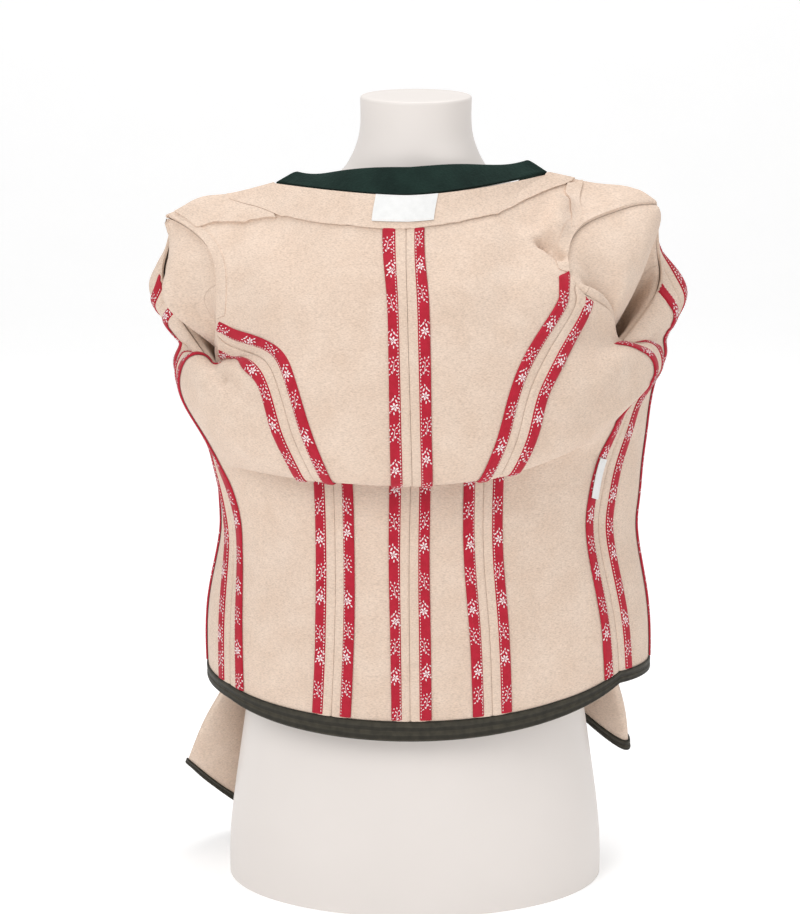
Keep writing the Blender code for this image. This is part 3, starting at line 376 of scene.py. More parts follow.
def add_wall(name, outer, inner, finishes, **more):
    """Closed wall between two grids."""
    points = np.concatenate([outer.reshape(-1, 3), inner.reshape(-1, 3)])
    return add_piece(name, points, wall_faces(*outer.shape[:2]), finishes, **more)


def unit(vectors):
    """Vectors scaled to length one."""
    return vectors / np.maximum(np.linalg.norm(vectors, axis=-1, keepdims=True), TINY)


def lengths_along(points):
    """Distance from the first point to each point along a line of points."""
    return np.concatenate([[0.0], np.cumsum(np.linalg.norm(np.diff(points, axis=0), axis=-1))])


def flat_size(points):
    """Width, length and area of a cloth grid: its longest row, its longest column and its quads."""
    width = np.linalg.norm(np.diff(points, axis=1), axis=-1).sum(axis=1).max()
    length = np.linalg.norm(np.diff(points, axis=0), axis=-1).sum(axis=0).max()
    first = points[1:, 1:] - points[:-1, :-1]
    second = points[1:, :-1] - points[:-1, 1:]
    area = np.linalg.norm(np.cross(first, second), axis=-1).sum() / 2
    return float(width), float(length), float(area)


CLOTH_CUTS = {}


def declare(piece, middle, widest=math.inf):
    """State the flat cut of a cloth piece, measured on its middle surface and no wider than a limit."""
    width, length, area = flat_size(middle)
    width = min(width, widest)
    CLOTH_CUTS[piece.name] = (round(width, 3), round(length, 3), round(area, 4))


print("pieces can take", len(FINISHES), "finishes")

# %% [markdown]
# ## Floor
#
# A flat plane would show its far edge as a line. The floor is a sheet that bends up far behind into a backdrop, as
# in a studio, so that the picture is pale all over.

# %% Floor
FLOOR_SIZE = 5.0
SWEEP_START = 2.6
SWEEP_RADIUS = 1.2
FLOOR_DROP = 0.0002
FLOOR_COLUMNS, BEND_ROWS = 9, 16

across_floor = np.linspace(-FLOOR_SIZE, FLOOR_SIZE, FLOOR_COLUMNS)
bend = np.linspace(0.0, math.pi / 2, BEND_ROWS)
floor_y = np.concatenate([[-FLOOR_SIZE], SWEEP_START + SWEEP_RADIUS * np.sin(bend)])
floor_z = np.concatenate([[0.0], SWEEP_RADIUS * (1.0 - np.cos(bend))]) - FLOOR_DROP
floor_x, floor_y = np.meshgrid(across_floor, floor_y)
floor_points = np.stack([floor_x, floor_y, np.repeat(floor_z[:, None], len(across_floor), axis=1)], axis=-1)
floor_mesh = bpy.data.meshes.new("floor")
floor_mesh.from_pydata(floor_points.reshape(-1, 3).tolist(), [],
                       quads(np.arange(floor_x.size).reshape(floor_x.shape)).tolist())
floor_mesh.shade_smooth()
floor_mesh.materials.append(FINISHES["floor"])
floor = bpy.data.objects.new("floor", floor_mesh)
bpy.context.scene.collection.objects.link(floor)
print("floor", floor_points.shape)

# %% [markdown]
# ## The dress form
#
# A dress form is a smooth torso with no arms or head. It could be sculpted, but its outline is simple: a short table
# of rings, each an ellipse. A spline through the table gives as many rings as the silhouette needs. The same spline
# later carries the cloth.

# %% Splines


def natural_spline(knots, values):
    """Function that gives the natural cubic spline through the rows of values at the knots."""
    knots = np.asarray(knots, float)
    values = np.asarray(values, float)
    count = len(knots)
    spans = np.diff(knots)
    matrix = np.eye(count)
    right_side = np.zeros_like(values)
    for k in range(1, count - 1):
        matrix[k, k - 1:k + 2] = spans[k - 1], 2.0 * (spans[k - 1] + spans[k]), spans[k]
        slope_after = (values[k + 1] - values[k]) / spans[k]
        slope_before = (values[k] - values[k - 1]) / spans[k - 1]
        right_side[k] = 6.0 * (slope_after - slope_before)
    bends = np.linalg.solve(matrix, right_side)

    def at(place):
        """Cubic between the two knots round each place: their values and a bow from their bends."""
        place = np.clip(np.asarray(place, float), knots[0], knots[-1])
        k = np.clip(np.searchsorted(knots, place, side="right") - 1, 0, count - 2)
        span = spans[k][..., None]
        before = ((knots[k + 1] - place) / spans[k])[..., None]
        after = 1.0 - before
        bow = (before ** 3 - before) * bends[k] + (after ** 3 - after) * bends[k + 1]
        return before * values[k] + after * values[k + 1] + bow * span ** 2 / 6.0

    return at


print("a straight spline at 0.5:", natural_spline([0.0, 1.0], [[0.0], [1.0]])(0.5))

# %% Dress form
FORM_SIDES = 112
FORM_STEPS = 5
FORM_SHARP = 40.0
END_RINGS = np.array([1e-3, 0.5, 0.97])[:, None]
# columns of the table that shrink towards a flat end's middle
END_SHRINKS = np.array([0.0, 1.0, 1.0, 0.0])
# height, half width, half depth and how far forward the middle lies
FORM_RINGS = np.array((
    (0, 177, 120, 0), (20, 177, 120, 0), (70, 173, 119, 0), (120, 166, 115, 0), (180, 157, 109, 0),
    (240, 146, 103, 0), (300, 134, 98, 0), (355, 127, 95, 0), (410, 132, 99, 0), (460, 142, 104, 0),
    (510, 152, 103, 0), (555, 162, 94, -3), (590, 166, 83, -7), (612, 163, 74, -9), (628, 152, 66, -10),
    (640, 132, 59, -11), (649, 115, 54, -11), (656, 100, 53, -9), (663, 84, 53, -7), (672, 68, 53, -4),
    (688, 57, 52, -1), (706, 51, 50, 0), (736, 50, 50, 0), (739.3, 49.3, 49.3, 0), (740, 47.5, 47.5, 0),
), float)


def dress_form():
    """Ellipses through the table of rings, closed by a flat base and a flat cap drawn to their middles."""
    count = (len(FORM_RINGS) - 1) * FORM_STEPS + 1
    place = np.linspace(0, len(FORM_RINGS) - 1, count)
    run = lengths_along(FORM_RINGS[:, :2])
    rings = natural_spline(run, FORM_RINGS)(np.interp(place, np.arange(len(run)), run))
    rings[:FORM_STEPS] = FORM_RINGS[0] + (FORM_RINGS[1] - FORM_RINGS[0]) * place[:FORM_STEPS, None]
    shrink = 1.0 - END_SHRINKS + END_RINGS * END_SHRINKS
    low, high = FORM_RINGS[0] * shrink, (FORM_RINGS[-1] * shrink)[::-1]
    height, half_width, half_depth, middle = np.concatenate([low, rings, high]).T * MM
    angle = np.arange(FORM_SIDES) * 2 * math.pi / FORM_SIDES
    x = half_width[:, None] * np.cos(angle)
    y = middle[:, None] + half_depth[:, None] * np.sin(angle)
    points = np.stack([x, y, np.repeat(height[:, None], FORM_SIDES, axis=1)], axis=-1)
    return add_piece("torso", points, loft_faces(*points.shape[:2], False), ["form"], nodes=["dress_form"],
                     sharp=FORM_SHARP)


torso = dress_form()
print("torso", len(torso.data.polygons), "faces")

# %% [markdown]
# ## The cut of the body
#
# A jacket's body is a few flat panels that take their shape from the seams. A cloth simulation could drop them on the
# form, but it would not fall into the folds of the picture. So two families of curves carry the cloth: sections
# across the back or a front, and the length v from the hem (0) to the shoulders (1). The deep fold over the waist
# is simply sections that go down again and out. These tables are those of the solids, in millimetres and degrees,
# so the fine cloth lies where they are.

# %% Tables of the body
BACK_COLUMNS = ("middle_x middle_y middle_z left_x left_y left_z left_turn "
                "right_x right_y right_z right_turn").split()
BACK_SECTIONS = {
    "hem":      (-5, -130, 177, -169, -70, 196, 61, 186, -70, 211, 59),
    "skirt":    (-6, -134, 285, -168, -62, 277, 62, 178, -70, 285, 57),
    "waist":    (-6, -133, 365, -165, -46, 334, 68, 165, -64, 352, 55),
    "tuck_in":  (-5, -133, 425, -168, -46, 362, 70, 167, -65, 385, 55),
    "tuck_top": (-5, -143, 458, -173, -45, 384, 74, 174, -65, 420, 57),
    "fold_in":  (-5, -156, 440, -178, -43, 403, 78, 184, -64, 450, 60),
    "lip":      (-4, -166, 424, -184, -41, 422, 80, 193, -60, 474, 63),
    "lip_out":  (-4, -175, 436, -196, -37, 446, 82, 206, -48, 487, 68),
    "bulge":    (-5, -175, 472, -214, -32, 484, 85, 219, -32, 497, 75),
    "roll":     (-6, -171, 508, -206, -40, 511, 80, 211, -36, 517, 75),
    "underarm": (-7, -163, 540, -182, -54, 505, 70, 184, -52, 525, 70),
    "armhole":  (-8, -148, 577, -175, -80, 538, 58, 173, -75, 556, 58),
    "blade":    (-9, -127, 610, -178, -60, 596, 50, 139, -97, 586, 45),
    "cap":      (-9, -105, 638, -199, -22, 619, 50, 143, -56, 627, 45),
    "top":      (-9, -86, 662, -227, 0, 634, 60, 216, 0, 639, 60),
}
FRONT_COLUMNS = "left_half right_half widest_y middle_y middle_z".split()
FRONT_SECTIONS = {
    "hem":      (192, 217, -12, 142, 206),
    "skirt":    (190, 213, -8, 146, 280),
    "waist":    (179, 203, -5, 134, 340),
    "tuck_in":  (179, 205, -5, 134, 368),
    "tuck_top": (181, 207, -5, 136, 394),
    "fold_in":  (185, 210, -4, 138, 418),
    "lip":      (190, 213, 0, 141, 442),
    "lip_out":  (200, 217, 2, 145, 464),
    "bulge":    (217, 224, 5, 149, 488),
    "roll":     (218, 229, 15, 152, 506),
    "underarm": (224, 238, 30, 152, 530),
    "armhole":  (247, 250, 42, 146, 556),
    "blade":    (235, 229, 40, 136, 578),
    "cap":      (230, 222, 28, 130, 590),
    "top":      (229, 218, 6, 126, 598),
}
# front edge of the armhole: x, y and z on the left and on the right
ARMHOLE_FRONT = {
    "armhole":  (-226, 14, 552, 219, 12, 556),
    "blade":    (-228, 20, 594, 222, 20, 592),
    "cap":      (-223, 12, 622, 219, 12, 624),
}
# middle of the shoulder seam and neck point
SHOULDER_SEAM = {"left": (-177, 0, 646, -126, -16, 662), "right": (166, 0, 657, 118, -14, 671)}
PRINCESS_TOP = {"back_left": "armhole", "back_right": "blade", "front_left": "armhole", "front_right": "blade"}
PRINCESS_COLUMNS = "back_left back_right front_left front_right".split()
PRINCESS = {
    "hem":      (0.37, 0.33, 0.28, 0.27),
    "skirt":    (0.34, 0.33, 0.277, 0.282),
    "waist":    (0.33, 0.33, 0.257, 0.30),
    "tuck_in":  (0.33, 0.325, 0.25, 0.305),
    "tuck_top": (0.33, 0.32, 0.236, 0.294),
    "fold_in":  (0.335, 0.315, 0.23, 0.273),
    "lip":      (0.34, 0.31, 0.208, 0.242),
    "lip_out":  (0.34, 0.31, 0.176, 0.21),
    "bulge":    (0.35, 0.32, 0.148, 0.17),
    "roll":     (0.43, 0.375, 0.182, 0.22),
    "underarm": (0.635, 0.53, 0.26, 0.27),
    "armhole":  (1.00, 0.74, 0.00, 0.10),
    "blade":    (1.00, 1.00, -0.33, 0.00),
}


def rows_of(table):
    """Rows of a table as an array."""
    return np.array(list(table.values()), float)


def place_columns(place):
    """Numbers of the back's three columns for its middle, left or right."""
    return [BACK_COLUMNS.index(f"{place}_{axis}") for axis in "xyz"]


def back_point(section, place):
    """Middle, left or right of a section of the back, in millimetres."""
    return np.array(BACK_SECTIONS[section], float)[place_columns(place)]


BACK_ROWS = rows_of(BACK_SECTIONS)
BACK_LINES = np.stack([BACK_ROWS[:, place_columns(place)] for place in ("middle", *SIDES)], axis=1)
LENGTHS = np.linalg.norm(np.diff(BACK_LINES, axis=0), axis=2).mean(axis=1)
BACK_LENGTH = LENGTHS.sum() * MM
KNOTS = np.concatenate([[0.0], np.cumsum(LENGTHS)]) / LENGTHS.sum()
V = dict(zip(BACK_SECTIONS, KNOTS))
BACK_AT = natural_spline(KNOTS, BACK_ROWS)
FRONT_AT = natural_spline(KNOTS, rows_of(FRONT_SECTIONS))
PRINCESS_AT = natural_spline([V[name] for name in PRINCESS], rows_of(PRINCESS))
print("length of the back", round(BACK_LENGTH, 3))

# %% [markdown]
# The back's sections are elliptic arcs through the middle and the two edges, the simplest curve that is round in the
# middle and turns at the sides. Towards the shoulders they are drawn to the shoulder seams and the neck.

# %% Surface of the back
SHOULDER_SHARE = 0.45
NECK_BEND = 1.5


def shoulder_pull(v):
    """How far a section is drawn towards the shoulder and neck line: 0 at the underarm, 1 at the top."""
    return np.clip((v - V["underarm"]) / (1.0 - V["underarm"]), 0.0, 1.0)[..., None] ** 2


def shoulder_line(side, share):
    """Shoulder seam from the armhole (0) to the neck point (1): a parabola through its middle."""
    tip = back_point("top", side)
    middle = np.array(SHOULDER_SEAM[side][:3], float)
    neck = np.array(SHOULDER_SEAM[side][3:], float)
    q = np.asarray(share, float)[..., None]
    return tip * (1 - q) * (1 - 2 * q) + middle * 4 * q * (1 - q) + neck * q * (2 * q - 1)


def back_top(s):
    """Upper edge of the back: shoulder seams outside, and between them the neck, easing off in depth and height."""
    middle = back_point("top", "middle")
    reach = np.abs(s)
    points = np.zeros(np.shape(s) + (3,))
    for side, sign in SIDES.items():
        seam = shoulder_line(side, np.clip((1.0 - reach) / SHOULDER_SHARE, 0, 1))
        share = np.clip(reach / (1.0 - SHOULDER_SHARE), 0, 1)[..., None]
        blend = np.concatenate([share, share ** NECK_BEND, share ** NECK_BEND], axis=-1)
        curve = middle + (np.array(SHOULDER_SEAM[side][3:], float) - middle) * blend
        edge = np.where((reach > 1.0 - SHOULDER_SHARE)[..., None], seam, curve)
        points = np.where((s * sign >= 0)[..., None], edge, points)
    return points


def back_arc(s, values):
    """Section of the back as an elliptic arc through its middle and its two edges."""
    columns = dict(zip(BACK_COLUMNS, np.moveaxis(values, -1, 0)))
    middle_x, middle_y, middle_z = (columns[f"middle_{axis}"] for axis in "xyz")
    edge_x, edge_y, edge_z, turn = (np.where(s < 0, columns[f"left_{name}"], columns[f"right_{name}"])
                                    for name in ("x", "y", "z", "turn"))
    turn = np.radians(turn)
    angle = np.abs(s) * turn
    x = middle_x + (edge_x - middle_x) * np.sin(angle) / np.sin(turn)
    y = middle_y + (edge_y - middle_y) * (1 - np.cos(angle)) / (1 - np.cos(turn))
    z = middle_z + (edge_z - middle_z) * s * s
    return np.stack([x, y, z], axis=-1)


def back_sheet(s, v):
    """Middle surface of the back: s from -1 (left edge) to 1 (right edge), v from hem to shoulder."""
    s, v = np.broadcast_arrays(np.asarray(s, float), np.asarray(v, float))
    correction = back_top(s) - back_arc(s, BACK_AT(np.ones_like(v)))
    return (back_arc(s, BACK_AT(v)) + shoulder_pull(v) * correction) * MM


print("middle of the hem", back_sheet(0.0, 0.0).round(3))

# %% [markdown]
# Each front runs from its side seam round the widest place to the centre front edge. Above the underarm its outer
# edge leaves the back and follows the armhole.

# %% Surfaces of the fronts
FULLEST = 0.998


def armhole_front_spline(side):
    """Front edge of the armhole, from the underarm up to the shoulder seam: a spline through its table."""
    names = ["underarm", *ARMHOLE_FRONT, "top"]
    inner = rows_of(ARMHOLE_FRONT).reshape(-1, len(SIDES), 3)[:, list(SIDES).index(side)]
    places = np.vstack([back_point("underarm", side), inner, back_point("top", side)])
    return natural_spline([V[name] for name in names], places)


ARMHOLE_FRONT_AT = {side: armhole_front_spline(side) for side in SIDES}


def front_top(side, s):
    """Upper edge of a front: shoulder seam, then a quarter round down the neck to the centre front."""
    neck = np.array(SHOULDER_SEAM[side][3:], float)
    low = np.array([0.0, *FRONT_SECTIONS["top"][3:]])
    seam = shoulder_line(side, np.clip(s / SHOULDER_SHARE, 0, 1))
    angle = (1.0 - np.clip((s - SHOULDER_SHARE) / (1.0 - SHOULDER_SHARE), 0, 1)) * math.pi / 2
    blend = np.stack([np.sin(angle), 1.0 - np.cos(angle), 1.0 - np.cos(angle)], axis=-1)
    return np.where((s > SHOULDER_SHARE)[..., None], low + (neck - low) * blend, seam)


def front_arc(side, s, edge, values):
    """Section of a front: an elliptic arc from its edge round the widest place to the centre front."""
    half = values[..., FRONT_COLUMNS.index(f"{side}_half")]
    widest_y, middle_y, middle_z = (values[..., FRONT_COLUMNS.index(name)] for name in FRONT_COLUMNS[2:])
    start = np.arcsin(np.clip(np.abs(edge[..., 0]) / half, 0.0, FULLEST))
    angle = start + (math.pi - start) * s
    near = (widest_y - edge[..., 1]) / np.cos(start)
    x = SIDES[side] * np.abs(edge[..., 0]) / np.sin(start) * np.sin(angle)
    y = widest_y - np.where(angle < math.pi / 2, near, middle_y - widest_y) * np.cos(angle)
    z = edge[..., 2] + (middle_z - edge[..., 2]) * (1.0 - (1.0 - s) ** 3)
    return np.stack([x, y, z], axis=-1)


def front_sheet(side, s, v):
    """Middle surface of a front: s from 0 (side seam or armhole) to 1 (centre front)."""
    s, v = np.broadcast_arrays(np.asarray(s, float), np.asarray(v, float))
    below = (v <= V["underarm"])[..., None]
    edge = np.where(below, BACK_AT(v)[..., place_columns(side)], ARMHOLE_FRONT_AT[side](v))
    top = np.ones_like(v)
    correction = front_top(side, s) - front_arc(side, s, ARMHOLE_FRONT_AT[side](top), FRONT_AT(top))
    return (front_arc(side, s, edge, FRONT_AT(v)) + shoulder_pull(v) * correction) * MM


print("centre front at the hem", front_sheet("left", 1.0, 0.0).round(3))

# %% [markdown]
# Cloth has a thickness, so every surface also needs its normals. Two sheets that meet in a seam would part there if
# each used its own, so they share the mean.

# %% Sheets and princess seams
SEAM_REACH = 0.005
SAME = 1e-6
STEP = 1e-4
FAR = 9.0


class Sheet:
    """A surface of the body with its outward normals, which two sheets share along their seam."""

    def __init__(self, side=None):
        """The back, or the front of one side."""
        self.side = side
        self.sign = 1.0 if side is None else SIDES[side]
        self.low = -1.0 if side is None else 0.0

    def points(self, s, v):
        """Middle surface at places s across and v along."""
        return back_sheet(s, v) if self.side is None else front_sheet(self.side, s, v)

    def tangents(self, s, v):
        """Slopes of the surface along s and v, by small differences."""
        s, v = np.clip(s, self.low + STEP, 1 - STEP), np.clip(v, STEP, 1 - STEP)
        along_s = (self.points(s + STEP, v) - self.points(s - STEP, v)) / (2 * STEP)
        along_v = (self.points(s, v + STEP) - self.points(s, v - STEP)) / (2 * STEP)
        return along_s, along_v

    def plain_normals(self, s, v):
        """This sheet's own normals: the cross product of its slopes."""
        return self.sign * unit(np.cross(*self.tangents(s, v)))

    def normals(self, s, v):
        """Outward normals, the mean of two neighbours' on side and shoulder seams."""
        normals = self.plain_normals(s, v)
        for other, mine, theirs in self.neighbours(s):
            seam = (mine < SEAM_REACH) & (v <= V["underarm"] + SAME)
            shoulder = (v > 1.0 - SEAM_REACH) & (mine < SHOULDER_SHARE + SEAM_REACH)
            for where in (seam, shoulder):
                if where.any():
                    mean = unit(normals + other.plain_normals(theirs, v))
                    normals = np.where(where[..., None], mean, normals)
        return normals

    def neighbours(self, s):
        """Neighbouring sheets with this sheet's distance from its edge and their own place there."""
        if self.side is not None:
            return [(BACK, s, self.sign * (1.0 - s))]
        return [(FRONTS[side], np.where(s * sign > 0, 1.0 - np.abs(s), FAR), np.clip(1.0 - np.abs(s), 0, 1))
                for side, sign in SIDES.items()]


BACK = Sheet()
FRONTS = {side: Sheet(side) for side in SIDES}


def princess_of(seam):
    """Place of a princess seam across its section, as a function of the length."""
    limit = V[PRINCESS_TOP[seam]]
    edge = 1.0 if seam.startswith("back") else 0.0
    sign = -1.0 if seam == "back_left" else 1.0

    def place(v):
        """The table's spline up to the seam's top, then the sheet's edge."""
        v = np.asarray(v, float)
        found = PRINCESS_AT(np.minimum(v, limit))[..., PRINCESS_COLUMNS.index(seam)]
        return sign * np.where(v >= limit - SAME, edge, found)

    return place


def constant(value):
    """Seam place that is the same at every height."""
    return lambda v: np.full_like(np.asarray(v, float), value)


print("sheets ready: one back and", len(FRONTS), "fronts")

# %% [markdown]
# ## Creases
#
# Felt is thick, so it bends in a few soft rolls instead of many sharp wrinkles. They could be painted on as bump, but
# then the outline would stay smooth. Each row below is one trough or ridge between two places on a sheet. Its height
# falls off with the distance as a bell curve, so the ends die away by themselves. The big ones are read from the
# picture, and the ones at the front are of the same kind.

# %% Creases
CREASE_SAMPLES = 20
# from one s and v to another, then width and height in millimetres
CREASES = {
    "back": (
        (-0.93, 0.662, -0.66, 0.606, 6, -5.0),
        (-0.66, 0.606, -0.50, 0.594, 8, -4.0),
        (-0.90, 0.620, -0.58, 0.575, 11, 3.5),
        (-0.40, 0.560, -0.12, 0.520, 16, 1.8),
        (0.12, 0.530, 0.50, 0.570, 15, 1.8),
        (0.55, 0.560, 0.80, 0.600, 12, -2.2),
        (0.62, 0.600, 0.90, 0.640, 12, 2.5),
        (0.70, 0.860, 0.35, 0.720, 15, -2.6),
        (0.52, 0.880, 0.20, 0.760, 17, 2.0),
        (0.735, 0.948, 0.800, 0.900, 7, -5.0),
        (0.850, 0.880, 0.960, 0.866, 4.5, -9.0),
        (0.900, 0.866, 0.970, 0.842, 5, -2.5),
        (0.800, 0.942, 0.890, 0.902, 11, 11.0),
        (-0.55, 0.880, -0.35, 0.740, 20, -2.2),
        (-0.75, 0.840, -0.62, 0.720, 13, 2.0),
        (-0.20, 0.860, -0.16, 0.700, 24, -1.5),
        (-0.70, 0.330, -0.60, 0.060, 15, -2.0),
        (-0.50, 0.380, -0.46, 0.160, 17, 1.6),
        (0.55, 0.360, 0.60, 0.050, 16, -2.0),
        (0.18, 0.340, 0.20, 0.080, 18, -1.4),
        (-0.18, 0.330, -0.20, 0.100, 18, 1.2),
        (0.82, 0.330, 0.86, 0.110, 10, 1.5),
    ),
    "left": (
        (0.10, 0.640, 0.52, 0.545, 12, -5.0),
        (0.16, 0.590, 0.46, 0.515, 14, 4.5),
        (0.34, 0.700, 0.74, 0.600, 13, 4.0),
        (0.44, 0.660, 0.82, 0.575, 11, -3.6),
        (0.40, 0.360, 0.50, 0.080, 15, -3.6),
        (0.62, 0.440, 0.68, 0.120, 16, 3.2),
        (0.20, 0.860, 0.36, 0.700, 12, -3.5),
        (0.78, 0.500, 0.90, 0.300, 14, -2.6),
    ),
    "right": (
        (0.12, 0.650, 0.44, 0.560, 12, -4.8),
        (0.18, 0.600, 0.56, 0.520, 13, 4.2),
        (0.40, 0.720, 0.78, 0.640, 12, -3.8),
        (0.48, 0.650, 0.72, 0.600, 14, 3.4),
        (0.38, 0.330, 0.46, 0.060, 14, 3.2),
        (0.60, 0.420, 0.70, 0.090, 17, -3.6),
        (0.22, 0.850, 0.38, 0.690, 13, 3.4),
        (0.82, 0.520, 0.90, 0.280, 13, 2.4),
    ),
}
# puffed shoulder and pucker on the right, and the slump beside the left shoulder: s, v, reach and height
BUMPS = {
    "back": ((0.85, 0.880, 7, -9.0), (0.68, 0.900, 14, -3.0), (0.90, 1.0, 27, 8.0),
             (-1.0, 1.0, 20, -4.0), (-0.84, 1.0, 20, 4.0), (-0.90, 0.900, 12, 1.6), (-0.62, 0.905, 16, -1.6)),
    "left": ((0.0, 1.0, 20, -4.0), (0.16, 1.0, 20, 4.0)),
    "right": ((0.10, 1.0, 27, 8.0),),
}


def crease_lines(sheet):
    """Places along each crease and bump of a sheet, with their reach and height in metres."""
    key = sheet.side or "back"
    share = np.linspace(0.0, 1.0, CREASE_SAMPLES)
    lines = []
    for s0, v0, s1, v1, width, height in CREASES[key]:
        lines.append((sheet.points(s0 + (s1 - s0) * share, v0 + (v1 - v0) * share), width * MM, height * MM))
    for s, v, reach, height in BUMPS[key]:
        lines.append((sheet.points(np.array([s]), np.array([v])), reach * MM, height * MM))
    return lines


CREASE_LINES = {sheet: crease_lines(sheet) for sheet in (BACK, *FRONTS.values())}


def relief(sheet, points):
    """Height of the creases at some points: each a bell curve of the distance to the nearest of its places."""
    flat = points.reshape(-1, 3)
    height = np.zeros(len(flat))
    for line, reach, depth in CREASE_LINES[sheet]:
        square = np.min(((flat[:, None, :] - line[None]) ** 2).sum(axis=2), axis=1)
        height += depth * np.exp(-square / reach ** 2)
    return height.reshape(points.shape[:-1])


print("creases", {key: len(rows) for key, rows in CREASES.items()})

# %% [markdown]
# ## Body panels
#
# Each panel is a wall of felt between two seams. Along a seam the two allowances are pressed open, so the cloth
# is a little thicker there, with a fine groove on the seam itself. A second layer of cloth could be modelled for the
# allowance, but only its soft edge shows, so a rise in the panel's own height is enough.

# %% Pressed-open seams
STEEPEST_SEAM = 12.0
ALLOWANCE_RISE = 0.9 * MM
ALLOWANCE_INNER = 12.0 * MM
ALLOWANCE_OUTER = 17.0 * MM
GROOVE_DEPTH = 0.9 * MM
GROOVE_WIDTH = 1.1 * MM


def seam_spread(sheet, place_of, v):
    """Metres at right angles to a seam for one unit of s, on each row."""
    s = place_of(v)
    above, below = np.minimum(v + STEP, 1.0), np.maximum(v - STEP, 0.0)
    slope = np.clip((place_of(above) - place_of(below)) / (above - below), -STEEPEST_SEAM, STEEPEST_SEAM)
    along_s, along_v = sheet.tangents(s, v)
    run = slope[:, None] * along_s + along_v
    return np.linalg.norm(np.cross(along_s, run), axis=1) / np.linalg.norm(run, axis=1)


def smooth_step(value):
    """Step from 0 to 1 with level ends."""
    value = np.clip(value, 0.0, 1.0)
    return value * value * (3.0 - 2.0 * value)


def seam_height(distance):
    """Rise of the pressed-open allowance at a distance from the seam, with the seam's groove."""
    rise = ALLOWANCE_RISE * smooth_step((ALLOWANCE_OUTER - distance) / (ALLOWANCE_OUTER - ALLOWANCE_INNER))
    return rise - GROOVE_DEPTH * np.exp(-(distance / GROOVE_WIDTH) ** 2)


print("height on a seam and 5 mm beside it:", seam_height(np.array([0.0, 5.0 * MM])))

# %% [markdown]
# The columns of a panel crowd towards its two seams, where the groove and the allowance need them. The panels beside
# a princess seam end in a point where it runs into the armhole, and the middle ones reach the shoulder.

# %% Body panels
CLOTH = 2.0 * MM
SEAM_GAP = 0.3 * MM
ROW_COUNT = 230
PANEL_TIP = 0.002
END_CROWDING = 0.75
CENTRE_COLUMNS, SIDE_COLUMNS, FRONT_COLUMN_COUNT = 44, 34, 46
ALL_ROWS = np.linspace(0.0, 1.0, ROW_COUNT)


class Panel:
    """One panel of the body on a fine grid between two seams."""

    def __init__(self, sheet, ends, columns, rows, sewn):
        """Places between the two ends, their points and normals, and their height from creases and seams."""
        self.sheet = sheet
        low, high = (place_of(rows) for place_of in ends)
        spread = [seam_spread(sheet, place_of, rows) for place_of in ends]
        even = np.linspace(0.0, 1.0, columns)
        share = even - END_CROWDING * np.sin(2 * math.pi * even) / (2 * math.pi)
        s = low[:, None] + (high - low)[:, None] * share
        s[:, 0] = low + SEAM_GAP / 2 / spread[0]
        s[:, -1] = high - SEAM_GAP / 2 / spread[1]
        s = np.clip(s, sheet.low, 1.0)
        v = np.repeat(rows[:, None], columns, axis=1)
        self.middle = sheet.points(s, v)
        self.normals = sheet.normals(s, v)
        self.height = relief(sheet, self.middle)
        for place, width, is_sewn in zip((low, high), spread, sewn):
            if is_sewn:
                self.height += seam_height(np.abs(s - place[:, None]) * width[:, None])

    def layer(self, distance):
        """The panel's points moved out along their normals."""
        return self.middle + self.normals * (self.height + distance)[..., None]


def panel_plans():
    """Sheet, seams, columns, rows and sewn edges of the eight panels."""
    plans = {}
    for side, sign in SIDES.items():
        for part, sheet, outside, inside in (("back", BACK, constant(sign), constant(0.0)),
                                             ("front", FRONTS[side], constant(0.0), constant(1.0))):
            seam = f"{part}_{side}"
            top = V[PRINCESS_TOP[seam]]
            rows = np.append(ALL_ROWS[ALL_ROWS < top - 1.5 * PANEL_TIP], top - PANEL_TIP)
            middle, aside = (princess_of(seam), inside), (outside, princess_of(seam))
            turned = part == "back" and side == "right"
            centre_name = f"back_centre_{side}" if part == "back" else f"front_{side}"
            columns = CENTRE_COLUMNS if part == "back" else FRONT_COLUMN_COUNT
            centre_sewn = (True, part == "back")
            plans[centre_name] = (sheet, middle[::-1] if turned else middle, columns, ALL_ROWS,
                                  centre_sewn[::-1] if turned else centre_sewn)
            plans[f"{part}_side_{side}"] = (sheet, aside[::-1] if turned else aside, SIDE_COLUMNS, rows, (True, True))
    return plans


PANELS = {name: Panel(*plan) for name, plan in panel_plans().items()}
panel_pieces = {}
for panel_name, panel in PANELS.items():
    panel_pieces[panel_name] = add_wall(f"cloth_{panel_name}", panel.layer(CLOTH / 2), panel.layer(-CLOTH / 2),
                                        ["wool"], nodes=[panel_name])
print("panels", {name: len(piece.data.polygons) for name, piece in panel_pieces.items()})

# %% [markdown]
# ## Bound seam edges
#
# Both edges of every seam allowance are folded into a red cotton tape. A tape is a strip at a fixed distance from its
# seam. It could be projected on to the cloth, but that pinches where the seam curves into the armhole. So each
# column of the strip is found at its distance from the seam on the surface itself, runs straight on past the seam's
# end and is cut off along the armhole's edge.

# %% Places beside a seam
TAPE_END = 0.004
TAPE_STEP = 2.6 * MM
CUT_START = 0.82
END_ROWS = 6
PAST_ROWS = 24
PAST_EDGE = 0.4
NEAR_STEPS = 6
BLEND_ROWS = 7
LEVEL_LEAST = 0.7


